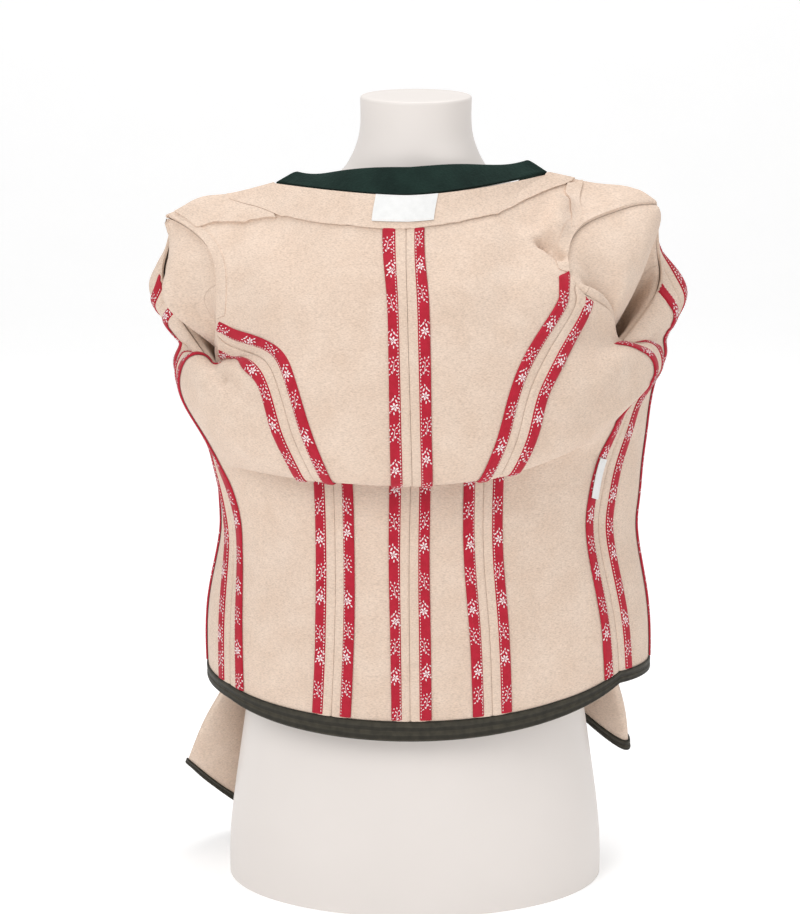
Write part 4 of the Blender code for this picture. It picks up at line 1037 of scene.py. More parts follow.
def nearest_places(sheet, s, v, targets):
    """Places on a sheet nearest to some points: a few Gauss-Newton steps from s and v."""
    for _ in range(NEAR_STEPS):
        along_s, along_v = sheet.tangents(np.clip(s, sheet.low, 1.0), v)
        gap = targets - sheet.points(s, v)
        ss, sv, vv, gs, gv = (np.sum(a * b, axis=-1) for a, b in (
            (along_s, along_s), (along_s, along_v), (along_v, along_v), (along_s, gap), (along_v, gap)))
        scale = ss * vv - sv * sv
        s = np.clip(s + (vv * gs - sv * gv) / scale, sheet.low - PAST_EDGE, 1.0 + PAST_EDGE)
        v = np.clip(v + (ss * gv - sv * gs) / scale, 0.0, 1.0)
    return s, v


def seam_places(place_of, low, high):
    """Places along a seam, a short step apart."""
    v = np.linspace(low, high, int((high - low) * BACK_LENGTH / TAPE_STEP) + 2)
    return place_of(v), v


def blended(vectors):
    """Vectors along a line, each the mean of those within a reach."""
    padded = np.pad(vectors, ((BLEND_ROWS, BLEND_ROWS), (0, 0)), mode="edge")
    sums = np.cumsum(np.pad(padded, ((1, 0), (0, 0))), axis=0)
    return unit(sums[2 * BLEND_ROWS + 1:] - sums[:-2 * BLEND_ROWS - 1])


def across_seam(sheet, s, v, distance, turning):
    """Places at a distance from a seam: level with it, or where turning is 1 at right angles to it."""
    along_s = sheet.tangents(s, v)[0]
    points = sheet.points(s, v)
    run = unit(np.gradient(points, axis=0))
    spread = np.linalg.norm(np.cross(along_s, run), axis=1)
    level = s - distance / np.maximum(spread, LEVEL_LEAST * np.linalg.norm(along_s, axis=1))
    aside = blended(np.cross(sheet.plain_normals(s, v), run)) * sheet.sign * distance
    square_s, square_v = nearest_places(sheet, s, v, points + aside)
    return level + (square_s - level) * turning, v + (square_v - v) * turning


def run_on(sheet, s, v):
    """Column of places that runs straight on past its end, in space."""
    points = sheet.points(s[-END_ROWS:], v[-END_ROWS:])
    steps = np.arange(1.0, PAST_ROWS + 1)
    further = [row[-1] + (row[-1] - row[-END_ROWS]) / (END_ROWS - 1) * steps for row in (s, v)]
    run = (points[-1] - points[0]) / (END_ROWS - 1)
    guess_s = np.clip(further[0], sheet.low - PAST_EDGE, 1.0 + PAST_EDGE)
    beyond = nearest_places(sheet, guess_s, np.clip(further[1], 0.0, 1.0), points[-1] + run * steps[:, None])
    return np.append(s, beyond[0]), np.append(v, beyond[1])


def strip_places(sheet, s, v, distances, turning):
    """Places of a strip's grid: one row for each seam place, one column for each distance from the seam.

    A strip that turns runs on until every column meets the sheet's edge and is cut off there.
    """
    columns = [across_seam(sheet, s, v, distance, turning) for distance in distances]
    if turning.any():
        columns = [run_on(sheet, *column) for column in columns]
    s, length = (np.stack(part, axis=1) for part in zip(*columns))
    rows = len(s)
    outside = (s > 1.0 - TAPE_END) | (s < sheet.low + TAPE_END)
    # the first third of a strip never meets the edge
    outside[:rows // 3] = False
    ends = np.where(outside.any(axis=0), np.argmax(outside, axis=0) - 1.0, rows - 1.0)
    share = np.linspace(0.0, 1.0, rows)
    late = smooth_step((share - CUT_START) / (1.0 - CUT_START))
    row = share[:, None] * ends.min() + late[:, None] * (ends - ends.min())
    number = np.arange(rows)
    s, length = (np.stack([np.interp(*pair) for pair in zip(row.T, repeat(number), grid.T)], axis=1)
                 for grid in (s, length))
    return np.clip(s, sheet.low + TAPE_END, 1.0 - TAPE_END), np.clip(length, 0.0, 1.0)


print("a place every", TAPE_STEP, "along a seam")

# %% [markdown]
# What lies on the cloth is made from the cloth's own points, moved out along the normals. Print and stitches then lie
# on a strip in the same way: each is given by its distance along the strip and its share across it.

# %% Points on cloth and on a strip
LAST_ROW, LAST_SHARE = 1.001, 0.9999


def on_cloth(sheet, s, v, height):
    """Points at a height above the creased cloth's outer face."""
    middle = sheet.points(s, v)
    lift = relief(sheet, middle) + CLOTH / 2 + height
    return middle + sheet.normals(s, v) * lift[..., None]


def strip_run(grid):
    """Distance along a strip's middle column to each of its rows."""
    return lengths_along(grid[:, grid.shape[1] // 2])


def on_strip(grid, along, across):
    """Points on a strip's grid at distances along it and shares across it: a blend of the four round each."""
    run = strip_run(grid)
    row = np.clip(np.interp(along, run, np.arange(len(run))), 0, len(run) - LAST_ROW)
    column = np.clip(across, 0.0, LAST_SHARE) * (grid.shape[1] - 1)
    i, j = row.astype(int), column.astype(int)
    a, b = (row - i)[..., None], (column - j)[..., None]
    return ((grid[i, j] * (1 - b) + grid[i, j + 1] * b) * (1 - a)
            + (grid[i + 1, j] * (1 - b) + grid[i + 1, j + 1] * b) * a)


def strip_normals(grid):
    """Normals of a strip's grid: the cross product of its slopes."""
    return unit(np.cross(np.gradient(grid, axis=1), np.gradient(grid, axis=0)))


def above_strip(grid, along, across, rise):
    """Points on a strip, moved out along its normals."""
    return on_strip(grid, along, across) + on_strip(strip_normals(grid), along, across) * rise


def flat_places(across, along):
    """Places of a strip's points laid flat: a pair for each row and column."""
    return np.stack(np.broadcast_arrays(across, along), axis=-1).reshape(-1, 2)


print("flat places of a strip of 2 by 3:", len(flat_places(np.arange(3.0), np.arange(2.0)[:, None])))

# %% [markdown]
# The tape is printed with small pale sprigs. An image would be the usual way, but then the print would be as coarse as
# its pixels. The two motifs, a blossom with leaves and a twig, were set out as little tables of petals, and each
# petal is a flat ellipse laid on the strip. They come in turn, with small random shifts. A row of white stitches runs
# along the edge next to the seam.

# %% Printed sprigs and stitches
PETAL_SIDES = 8
PETAL_SIZE = 0.87
SPRIG_STEP = 29.0 * MM
SPRIG_START = (0.2, 0.9)
# random shift across and along, in millimetres
SPRIG_SHIFT, SPRIG_LATE = 1.2, 4.0
PRINT_EDGE = 0.01
PRINT_RISE = 0.12 * MM
STITCH_STEP = 3.0 * MM
STITCH_LENGTH = 2.1 * MM
STITCH_WIDTH = 0.8 * MM
BLOSSOM_RADIUS = 2.3
# place across and along, half length, half width and turn of each petal, in millimetres and degrees
BLOSSOM = [(BLOSSOM_RADIUS * math.cos(turn), BLOSSOM_RADIUS * math.sin(turn), 1.7, 0.9, math.degrees(turn))
           for turn in np.radians(range(15, 375, 60))]
BLOSSOM += [
    (0, 0, 0.6, 0.6, 0), (-1.4, 5.2, 1.8, 0.75, 65), (1.3, 6.6, 1.7, 0.7, 115), (-3.2, 7.6, 1.5, 0.6, 40),
    (3.2, 4.6, 1.5, 0.65, 135), (-3.7, -3.6, 1.4, 0.65, 50), (3.5, -4.4, 1.5, 0.65, 125),
    (0.6, -5.6, 1.6, 0.6, 85), (-0.4, 9.2, 1.3, 0.55, 95)]
TWIG = [
    (0.2, -1.0, 7.0, 0.22, 82), (-3.2, -7.2, 1.2, 0.5, 40), (-1.2, -5.4, 1.3, 0.55, 105), (-3.4, -2.8, 1.3, 0.5, 20),
    (1.0, -3.0, 1.2, 0.75, 70), (3.3, -4.2, 1.3, 0.5, 150), (-1.6, 0.2, 1.4, 0.65, 60), (2.3, 0.2, 1.2, 0.55, 20),
    (3.8, 2.4, 1.2, 0.5, 100), (-0.6, 3.6, 1.3, 0.55, 130), (-3.4, 3.0, 1.1, 0.5, 70), (2.2, 5.2, 1.3, 0.5, 40),
    (0.2, 7.4, 1.2, 0.5, 95), (3.5, 8.0, 1.1, 0.5, 60), (-2.4, 6.6, 0.7, 0.6, 0), (2.9, -7.2, 0.6, 0.6, 0)]


def sprigs(grid, draw):
    """Petals of the print on a strip: ellipses round their middles, the two motifs in turn."""
    width, length = np.linalg.norm(grid[0, -1] - grid[0, 0]), strip_run(grid)[-1]
    starts = np.arange(draw.uniform(*SPRIG_START) * SPRIG_STEP, length, SPRIG_STEP)
    petals = []
    for k, start in enumerate(starts):
        motif = np.array(BLOSSOM if k % 2 else TWIG)
        flip = draw.choice((-1.0, 1.0))
        across = motif[:, 0] * flip + draw.uniform(-SPRIG_SHIFT, SPRIG_SHIFT)
        along = motif[:, 1] + draw.uniform(-SPRIG_LATE, SPRIG_LATE)
        petals.append(np.column_stack([across * MM, start + along * MM, motif[:, 2:4] * PETAL_SIZE * MM,
                                       np.radians(motif[:, 4]) * flip]))
    across, along, long, wide, turn = np.concatenate(petals).T[:, :, None]
    angle = np.arange(PETAL_SIDES) * 2 * math.pi / PETAL_SIDES
    x = across + long * np.cos(angle) * np.cos(turn) - wide * np.sin(angle) * np.sin(turn)
    y = along + long * np.cos(angle) * np.sin(turn) + wide * np.sin(angle) * np.cos(turn)
    inside = (np.abs(across[:, 0]) < width / 2) & (along[:, 0] > 0) & (along[:, 0] < length)
    x, y = np.clip(x[inside] / width + 0.5, PRINT_EDGE, 1 - PRINT_EDGE), np.clip(y[inside], 0.0, length)
    points = above_strip(grid, y, x, PRINT_RISE)
    return points, np.arange(points.shape[0] * PETAL_SIDES).reshape(-1, PETAL_SIDES)


def stitches(grid, place, step=STITCH_STEP, long=STITCH_LENGTH, wide=STITCH_WIDTH, rise=PRINT_RISE):
    """Row of stitches along a strip at a share across it: a lozenge for each."""
    width, length = np.linalg.norm(grid[0, -1] - grid[0, 0]), strip_run(grid)[-1]
    along = np.arange(step, length - step, step)[:, None] + np.array([-long / 2, 0.0, long / 2, 0.0])
    across = place + np.array([0.0, wide / 2, 0.0, -wide / 2]) / width + np.zeros_like(along)
    points = above_strip(grid, along, across, rise)
    return points, np.arange(points.size // 3).reshape(-1, 4)


print("petals in a blossom", len(BLOSSOM), "and in a twig", len(TWIG))

# %% [markdown]
# Now the fourteen tapes. Folded tape is thicker in its middle, so its height follows a flat-topped curve across. The
# two strips of one seam lie on its two sides, and those of a princess seam turn with it into the armhole.

# %% Tapes
TAPE_INNER = 8.0 * MM
TAPE_OUTER = 18.0 * MM
TAPE_UNDER = 0.7 * MM
TAPE_LOW_EDGE = 1.1 * MM
TAPE_CROWN = 1.2 * MM
CROWN_POWER = 6
TAPE_COLUMNS = 9
STITCH_PLACE = 0.13
SEAM_END = {"back_left": 0.016, "back_right": 0.055, "front_left": 0.016, "front_right": 0.016}
PLAIN_END = 0.006
HEM_BAND_WIDTH = 14.0 * MM
BAND_V = HEM_BAND_WIDTH / BACK_LENGTH
ABOVE_BAND = 1.0 * MM
TAPE_LOW = BAND_V + ABOVE_BAND / BACK_LENGTH
FACING_V = V["cap"]
TAPE_DRAW = np.random.default_rng(11)
tape_pieces = {}


def add_tape(name, panel_name, place_of, low, high, sign, turns=False):
    """Tape along one side of a seam, crowned across, with its print and its stitches."""
    sheet = PANELS[panel_name].sheet
    s, v = seam_places(place_of, low, high)
    turning = smooth_step((v - V["lip_out"]) / (V["roll"] - V["lip_out"])) * turns
    distances = sign * np.linspace(TAPE_INNER, TAPE_OUTER, TAPE_COLUMNS)
    s, v = strip_places(sheet, s, v, distances, turning)
    even = np.linspace(-1.0, 1.0, TAPE_COLUMNS)
    crown = TAPE_LOW_EDGE + TAPE_CROWN * (1.0 - even ** CROWN_POWER)
    outer = on_cloth(sheet, s, v, np.broadcast_to(crown, s.shape))
    inner = on_cloth(sheet, s, v, np.full_like(s, TAPE_UNDER))
    facing = np.sum(strip_normals(outer) * sheet.normals(s, v)) > 0.0
    shown = outer if facing else outer[:, ::-1]
    place = STITCH_PLACE if facing else 1.0 - STITCH_PLACE
    marks = [(*sprigs(shown, TAPE_DRAW), 1), (*stitches(shown, place), 2)]
    uv = flat_places(even * (TAPE_OUTER - TAPE_INNER) / 2, strip_run(outer)[:, None])
    made = add_wall(f"bound_{name}", outer, inner, ["red_tape", "print", "white_thread"], nodes=[name],
                    uv=np.concatenate([uv, uv]), marks=marks)
    tape_pieces.setdefault(panel_name, []).append(made)


SIDE_TOP = V["underarm"] - PLAIN_END
for side, sign in SIDES.items():
    add_tape(f"tape_centre_back_{side}", f"back_centre_{side}", constant(0.0), TAPE_LOW, FACING_V - PLAIN_END, -sign)
    for part, centre, inward in (("back", f"back_centre_{side}", sign), ("front", f"front_{side}", -1.0)):
        seam = f"{part}_{side}"
        seam_top = V[PRINCESS_TOP[seam]] - SEAM_END[seam]
        for edge, panel_name, turn in (("inner", centre, inward), ("outer", f"{part}_side_{side}", -inward)):
            add_tape(f"tape_{part}_princess_{side}_{edge}", panel_name, princess_of(seam), TAPE_LOW, seam_top, turn,
                     True)
    add_tape(f"tape_side_{side}_back", f"back_side_{side}", constant(sign), TAPE_LOW, SIDE_TOP, sign)
    add_tape(f"tape_side_{side}_front", f"front_side_{side}", constant(0.0), TAPE_LOW, SIDE_TOP, -1.0)
print("tapes", sum(len(group) for group in tape_pieces.values()))

# %% [markdown]
# ## Sleeves
#
# The sleeves were not pulled through, so they hang inside the body and only their cuffs come out below the hem.
# A sleeve starts under the armhole's raw edge, rolls inwards and drops into a flattened tube. One sweep along a path
# could make the tube but not the roll, which differs all round. So the roll is a Bezier curve for each place round
# the armhole, and the tube a spline of flattened rings that bend round the form. Both follow the solids, with a
# fuller roll.

# %% Sleeve tables
SLEEVE_CLOTH = 1.8 * MM
CUFF_BAND_WIDTH = 8.0 * MM
CAP_ROLL = 3.0 * MM
CAP_SINK = 0.5 * MM
UNDER_SLEEVE_SHARE = 0.4
ARMHOLE_ROWS = 56
THROAT_ROWS = 26
TUBE_STEPS = 5
# middle x, y and z, half length, half thickness, heading, bow, tilt and curl of each ring
SLEEVE_RINGS = {
    "left": (
        (-169, -18, 452, 58, 18, 100, 17, 0, 0),
        (-155, -3, 380, 57, 16, 92, 18, 0, 0),
        (-156, 16, 310, 56, 15, 80, 18, 0, 0),
        (-160, 37, 245, 56, 13, 67, 16, 0, 0),
        (-152, 55, 195, 57, 9, 55, 14, 0, 0),
        (-158, 70, 122, 59, 13, 42, 7, -16, 6),
        (-166, 84, 30, 62, 16, 30, 0, -32, 17),
    ),
    "right": (
        (172, -24, 458, 58, 19, 77, 17, 0, 0),
        (162, -6, 390, 57, 17, 87, 17, 0, 0),
        (160, 17, 325, 56, 16, 100, 17, 0, 0),
        (164, 38, 260, 56, 15, 112, 16, 0, 0),
        (163, 59, 206, 56, 13, 124, 13, 8, 0),
        (161, 70, 174, 57, 14, 136, 6, 20, 0),
        (157, 77, 143, 58, 15, 146, 0, 34, 0),
    ),
}
# share round the armhole, start under its edge, lead and sink of the roll's first handle and drop of its second
SLEEVE_HEAD = {
    "left": {
        "underarm":  (0.0, 4.5, 4, 13, 25),
        "low_back":  (0.08, 2.2, 20, 8, 45),
        "mid_back":  (0.19, 2.2, 20, 13, 62),
        "back":      (0.31, 2.2, 100, 10, 110),
        "cap":       (0.4, 2.2, 130, 10, 100),
        "shoulder":  (0.46, 2.2, 75, 10, 60),
        "tip":       (0.52, 3.0, 4, 22, 90),
        "front_top": (0.56, 4.0, 0, 26, 80),
        "front":     (0.75, 4.0, 11, 18, 60),
        "low_front": (0.9, 4.0, 9, 14, 30),
    },
    "right": {
        "underarm":  (0.0, 3.0, 5, 10, 25),
        "low_back":  (0.1, 2.2, 8, 15, 30),
        "back":      (0.22, 2.2, 24, 15, 52),
        "high_back": (0.32, 2.2, 58, 16, 90),
        "cap":       (0.41, 2.2, 110, 10, 95),
        "shoulder":  (0.54, 2.2, 80, 10, 60),
        "tip":       (0.585, 2.2, 12, 12, 60),
        "front_top": (0.63, 2.2, 6, 15, 50),
        "front":     (0.8, 2.2, 13, 14, 40),
        "low_front": (0.92, 2.2, 11, 12, 30),
    },
}
ROUND_WEIGHTS = np.array([1.0, 4.0, 6.0, 4.0, 1.0]) / 16.0
ROUND_TIMES = 3
print("rings in a sleeve", len(SLEEVE_RINGS["left"]))

# %% Armholes


def rounded(values):
    """Values round a loop, each blended with its neighbours a few times."""
    for _ in range(ROUND_TIMES):
        values = sum(weight * np.roll(values, k - 2, axis=0) for k, weight in enumerate(ROUND_WEIGHTS))
    return values


def armhole_loop(side):
    """Armhole edge, up the back and down the front: points, normals and directions past it."""
    v = np.linspace(V["underarm"], 1.0, ARMHOLE_ROWS)
    edge, zero = np.full_like(v, SIDES[side]), np.zeros_like(v)
    back, front = BACK.points(edge, v), FRONTS[side].points(zero, v)
    points = np.concatenate([back, front[-2:0:-1]])
    normals = np.concatenate([BACK.normals(edge, v), FRONTS[side].normals(zero, v)[-2:0:-1]])
    normals = unit(rounded(normals))
    lift = np.concatenate([relief(BACK, back), relief(FRONTS[side], front)[-2:0:-1]])
    points = points + normals * lift[:, None]
    run = unit(np.roll(points, -1, axis=0) - np.roll(points, 1, axis=0))
    past = unit(rounded(np.cross(normals, run) * -SIDES[side]))
    return points, normals, past


print("points round an armhole", len(armhole_loop("left")[0]))

# %% [markdown]
# Each sleeve is cut in two pieces, a wide one above and a narrow one under the arm, with a seam between them.

# %% Sleeves


def sleeve_rows(side):
    """Middle surface of a sleeve: rows from the armhole through the throat, by Bezier curves, to the cuff."""
    points, normals, past = armhole_loop(side)
    steps = np.linalg.norm(np.roll(points, -1, axis=0) - points, axis=1)
    share = np.concatenate([[0.0], np.cumsum(steps)[:-1]]) / steps.sum()
    angle = math.pi / 2 + 2 * math.pi * share
    table = np.array(SLEEVE_RINGS[side], float)
    last = len(table) - 1.0
    band = CUFF_BAND_WIDTH / (np.linalg.norm(table[-1, :3] - table[-2, :3]) * MM)
    places = np.sort(np.append(np.linspace(0.0, last, int(last) * TUBE_STEPS + 1), last - band))
    rings = natural_spline(np.arange(last + 1), table)(places).T[:, :, None]
    x, y, z, long, thin, heading, bow, tilt, curl = rings
    turn = np.radians(heading)
    out = -SIDES[side]
    far = long * np.cos(angle)
    away = thin * np.sin(angle) - bow * np.cos(angle) ** 2
    tube = np.stack([x + far * np.cos(turn) - away * np.sin(turn) * out,
                     y + far * np.sin(turn) + away * np.cos(turn) * out,
                     z + np.tan(np.radians(tilt)) * far + curl * np.cos(angle) ** 2], axis=-1) * MM
    place, *shape = rows_of(SLEEVE_HEAD[side]).T
    under, lead, sink, drop = (rounded(np.interp(share, place, row, period=1.0)[:, None] * MM) for row in shape)
    start = points - normals * under
    roll = points + past * CAP_ROLL - normals * (under + CAP_SINK)
    first = roll + past * lead - normals * sink
    second = tube[0] + drop * np.array([0.0, 0.0, 1.0])
    q = np.linspace(0.0, 1.0, THROAT_ROWS + 1)[:-1, None, None]
    cap = roll * (1 - q) ** 3 + 3 * first * q * (1 - q) ** 2 + 3 * second * q ** 2 * (1 - q) + tube[0] * q ** 3
    return np.concatenate([start[None], cap, tube]), normals


def loop_normals(rows):
    """Normals of a grid that closes on itself across its columns."""
    across = np.roll(rows, -1, axis=1) - np.roll(rows, 1, axis=1)
    return unit(np.cross(across, np.gradient(rows, axis=0)))


sleeve_pieces, sleeve_middles, SLEEVES = {}, {}, {}
for side, sign in SIDES.items():
    rows, edge_normals = sleeve_rows(side)
    normals = loop_normals(rows)
    normals *= np.sign(np.sum(normals[0] * edge_normals))
    normals[0] = edge_normals
    SLEEVES[side] = rows, normals
    count = rows.shape[1]
    under = int(round(count * UNDER_SLEEVE_SHARE / 2))
    for name, columns in (("under", np.arange(-under, under + 1) % count),
                          ("upper", np.arange(under, count - under + 1) % count)):
        middle, facing = rows[:, columns].copy(), normals[:, columns]
        middle[:, 0] += unit(middle[:, 1] - middle[:, 0]) * SEAM_GAP / 2
        middle[:, -1] += unit(middle[:, -2] - middle[:, -1]) * SEAM_GAP / 2
        node = f"sleeve_{name}_{side}"
        sleeve_pieces[node] = add_wall(f"cloth_{node}", middle + facing * SLEEVE_CLOTH / 2,
                                       middle - facing * SLEEVE_CLOTH / 2, ["wool"], nodes=[node])
        sleeve_middles[node] = middle
print("sleeves", {name: len(piece.data.polygons) for name, piece in sleeve_pieces.items()})

# %% [markdown]
# ## Hem and cuff bindings
#
# A dark braid is folded over the hem and over each cuff, and held by one row of stitches. A curve with a bevel could
# make it, but it would twist against the cloth. So its profile, a rounded U with a groove under the stitches, is
# carried along the edge with the cloth's own normals.

# %% Binding
# place from the braid's upper edge (0) to the cloth's edge (1) and height off the cloth's middle, in millimetres
BRAID_PROFILE = np.array((
    (0.00, 1.6), (0.02, 2.3), (0.08, 2.7), (0.20, 2.85), (0.34, 2.8), (0.47, 2.75), (0.53, 2.3), (0.57, 2.05),
    (0.61, 2.3), (0.67, 2.8), (0.80, 2.95), (0.92, 2.95), (1.02, 2.6), (1.09, 1.7), (1.12, 0.0), (1.09, -1.7),
    (1.02, -2.5), (0.85, -2.7), (0.45, -2.7), (0.10, -2.6), (0.01, -2.2), (0.00, -1.5), (0.02, -1.25),
    (0.96, -1.25), (1.02, 0.0), (0.96, 1.25), (0.02, 1.25),
))
STITCH_GROOVE = 0.57
STITCHED_HEIGHT = 2.15
GROOVE_HALF = 2.0 * MM
BRAID_SHARP = 70.0
# step, length, width and rise
BRAID_STITCH = (3.2 * MM, 2.3 * MM, 0.6 * MM, 0.15 * MM)


def add_braid(name, edge, edge_normals, top, top_normals, node, closed):
    """Binding whose U profile is carried along a cloth edge, with a row of stitches in its groove."""
    place, height = BRAID_PROFILE.T[:, None, :, None] * np.array([1.0, MM])[:, None, None, None]
    normals = unit(top_normals[:, None] * (1 - place) + edge_normals[:, None] * place)
    points = top[:, None] * (1 - place) + edge[:, None] * place + normals * height
    around = lengths_along(BRAID_PROFILE * np.array([HEM_BAND_WIDTH, MM]))
    uv = flat_places(around, lengths_along(edge)[:, None])
    line = top * (1 - STITCH_GROOVE) + edge * STITCH_GROOVE
    facing = unit(top_normals + edge_normals)
    down = unit(edge - top) * GROOVE_HALF
    groove = np.stack([line - down, line, line + down], axis=1) + facing[:, None] * STITCHED_HEIGHT * MM
    marks = [(*stitches(groove, 0.5, *BRAID_STITCH), 1)]
    faces = loft_faces(*points.shape[:2], closed)
    if not closed:
        size = points.shape[1]
        ring = np.arange(size)
        half = size // 2
        cap = np.stack([ring[:half - 1], ring[1:half], ring[::-1][1:half], ring[::-1][:half - 1]], axis=-1)
        faces = np.concatenate([faces, cap[:, ::-1], cap + (points.shape[0] - 1) * size])
    return add_piece(name, points, faces, ["dark_band", "brown_thread"], uv=uv, marks=marks, nodes=[node],
                     sharp=BRAID_SHARP)


print("points in the braid's profile", len(BRAID_PROFILE))

# %% Hem and cuffs
HEM_FRONT_POINTS, HEM_BACK_POINTS = 110, 190
HEM_SIDE_STEP = 0.004

hem_front = np.linspace(1.0 - SEAM_GAP, HEM_SIDE_STEP, HEM_FRONT_POINTS)
hem_places = [(FRONTS["left"], hem_front), (BACK, np.linspace(-1.0, 1.0, HEM_BACK_POINTS)),
              (FRONTS["right"], hem_front[::-1])]


def line_round(places, v, creased):
    """Points, on the creases or not, and normals along several sheets at one length."""
    points, normals = [], []
    for sheet, s in places:
        length = np.full_like(s, v)
        points.append(sheet.points(s, length))
        normals.append(sheet.normals(s, length))
        points[-1] = points[-1] + normals[-1] * relief(sheet, points[-1])[:, None] * creased
    return np.concatenate(points), np.concatenate(normals)


hem_piece = add_braid("hem_braid", *line_round(hem_places, 0.0, True), *line_round(hem_places, BAND_V, True),
                      "hem_band", False)
for side in SIDES:
    rows, normals = SLEEVES[side]
    add_braid(f"cuff_braid_{side}", rows[-1], -normals[-1], rows[-2], -normals[-2],
                                  f"cuff_band_{side}", True)

# %% [markdown]
# ## Collar
#
# The stand collar is a strip of dark green felt sewn round the neck, its free edge a little wavy. A straight band bent
# to the neck would be even all round, so a short table gives how far each place rises and leans inwards.

# %% Collar
COLLAR_CLOTH = 3.0 * MM
COLLAR_ROWS = 14
COLLAR_SHARP = 80.0
NECK_FRONT_POINTS, NECK_BACK_POINTS = 60, 150
# the wall thins towards its free edge by this share, and with this power of the height
EDGE_THINNING, EDGE_POWER = 0.9, 8
# place along the neck edge from the left front, rise and lean towards the neck
COLLAR = {
    "front_left":  (0.0, 20, 12),
    "side_left":   (0.16, 15, 15),
    "tip_left":    (0.275, 15, 12),
    "dip_left":    (0.315, 9, 19),
    "back_left":   (0.37, 13, 19),
    "centre_back": (0.5, 22, 16),
    "back_right":  (0.60, 17, 18),
    "wave_right":  (0.645, 12, 18),
    "dip_right":   (0.69, 10, 18),
    "tip_right":   (0.725, 14, 13),
    "side_right":  (0.84, 15, 15),
    "front_right": (1.0, 20, 12),
}


def neck_edge():
    """Neck edge from the left front edge round the back to the right one: points and directions past it."""
    front = np.linspace(1.0 - SEAM_GAP, SHOULDER_SHARE, NECK_FRONT_POINTS, endpoint=False)
    back = np.linspace(SHOULDER_SHARE - 1.0, 1.0 - SHOULDER_SHARE, NECK_BACK_POINTS)
    places = [(FRONTS["left"], front), (BACK, back), (FRONTS["right"], front[::-1])]
    points, normals = line_round(places, 1.0, False)
    return points, unit(np.cross(normals, unit(np.gradient(points, axis=0))))


def collar():
    """Stand collar: the neck edge raised and leaned inwards by its table, with a rounded free edge."""
    points, past = neck_edge()
    bases = points + past * (SEAM_GAP + COLLAR_CLOTH / 2)
    run = lengths_along(points)
    place, rise, lean = rows_of(COLLAR).T
    shape = natural_spline(place, np.stack([rise, lean], axis=1) * MM)(run / run[-1])
    outward = unit(bases * (1.0, 1.0, 0.0))
    up = np.array([0.0, 0.0, 1.0])
    climb = up * shape[:, :1] - outward * shape[:, 1:]
    across = unit(outward * shape[:, :1] + up * shape[:, 1:]) * COLLAR_CLOTH / 2
    share = np.sin(np.linspace(0.0, math.pi / 2, COLLAR_ROWS))
    middle = bases + climb * share[:, None, None]
    thin = np.sqrt(1.0 - EDGE_THINNING * share ** EDGE_POWER)[:, None, None]
    piece = add_wall("stand_collar", middle + across * thin, middle - across * thin, ["dark_collar"],
                     nodes=["collar"], sharp=COLLAR_SHARP)
    return piece, middle


collar_piece, collar_middle = collar()
print("collar", len(collar_piece.data.polygons), "faces")

# %% [markdown]
# ## Facings
#
# Inside the collar a facing of the body's own felt covers the neck seam and runs down both front edges. Its lower edge
# is cut raw. It could be drawn as a line on the cloth, but a second layer casts the small shadow that tells the eye
# of its thickness. The raw edge wavers a little, by seeded random numbers.

# %% Facings
FACING_CLOTH = 1.5 * MM
FACING_FLOAT = 0.5 * MM
FACING_LAYER = (FACING_FLOAT, FACING_FLOAT + FACING_CLOTH)
EDGE_SHAKE = 0.0016
# places just inside a sheet's upper or front edge
NEAR_EDGE = 0.9985
BACK_FACING_POINTS, BACK_FACING_ROWS = 170, 26
FRONT_FACING_COLUMNS = 24
# rows of a front facing up to the turn of its inner edge and past it
FRONT_FACING_ROWS = ((2.5 * BAND_V, 0.80, 90), (0.805, NEAR_EDGE, 60))
FRONT_FACING_EDGE = 0.83
FACING_TURN_LOW, FACING_TURN = 0.05, 0.07
# laid flat, a front facing is as wide as half the neck, because its upper part curves up to the shoulder
FRONT_FACING_WIDTH = 0.15
# lower edge of the back neck facing: place across the back and length
FACING_EDGE = np.array((
    (-0.745, 0.988), (-0.704, 0.967), (-0.638, 0.942), (-0.572, 0.917), (-0.405, 0.906), (-0.169, 0.902),
    (0.0, 0.902), (0.193, 0.905), (0.363, 0.906), (0.535, 0.908), (0.600, 0.925), (0.640, 0.950), (0.670, 0.985),
))
facing_draw = np.random.default_rng(5)


def ragged(count, amount):
    """Small uneven waves along a cut edge."""
    return rounded(facing_draw.normal(0.0, amount, count))


def layer_on(sheet, s, v, heights, name, nodes, widest=math.inf):
    """Second layer of felt on a sheet between two heights."""
    low_grid, high_grid = (on_cloth(sheet, s, v, np.full_like(s, height)) for height in heights)
    made = add_wall(name, high_grid, low_grid, ["wool"], nodes=nodes)
    declare(made, (low_grid + high_grid) / 2, widest=widest)
    return made


def back_facing():
    """Neck facing across the back, from its raw lower edge up to the neck seam."""
    s = np.linspace(FACING_EDGE[0, 0], FACING_EDGE[-1, 0], BACK_FACING_POINTS)
    low = np.interp(s, *FACING_EDGE.T) + ragged(len(s), EDGE_SHAKE)
    v = low + (NEAR_EDGE - low) * np.linspace(0.0, 1.0, BACK_FACING_ROWS)[:, None]
    return layer_on(BACK, np.broadcast_to(s, v.shape), v, FACING_LAYER, "facing_back", ["neck_facing_back"])


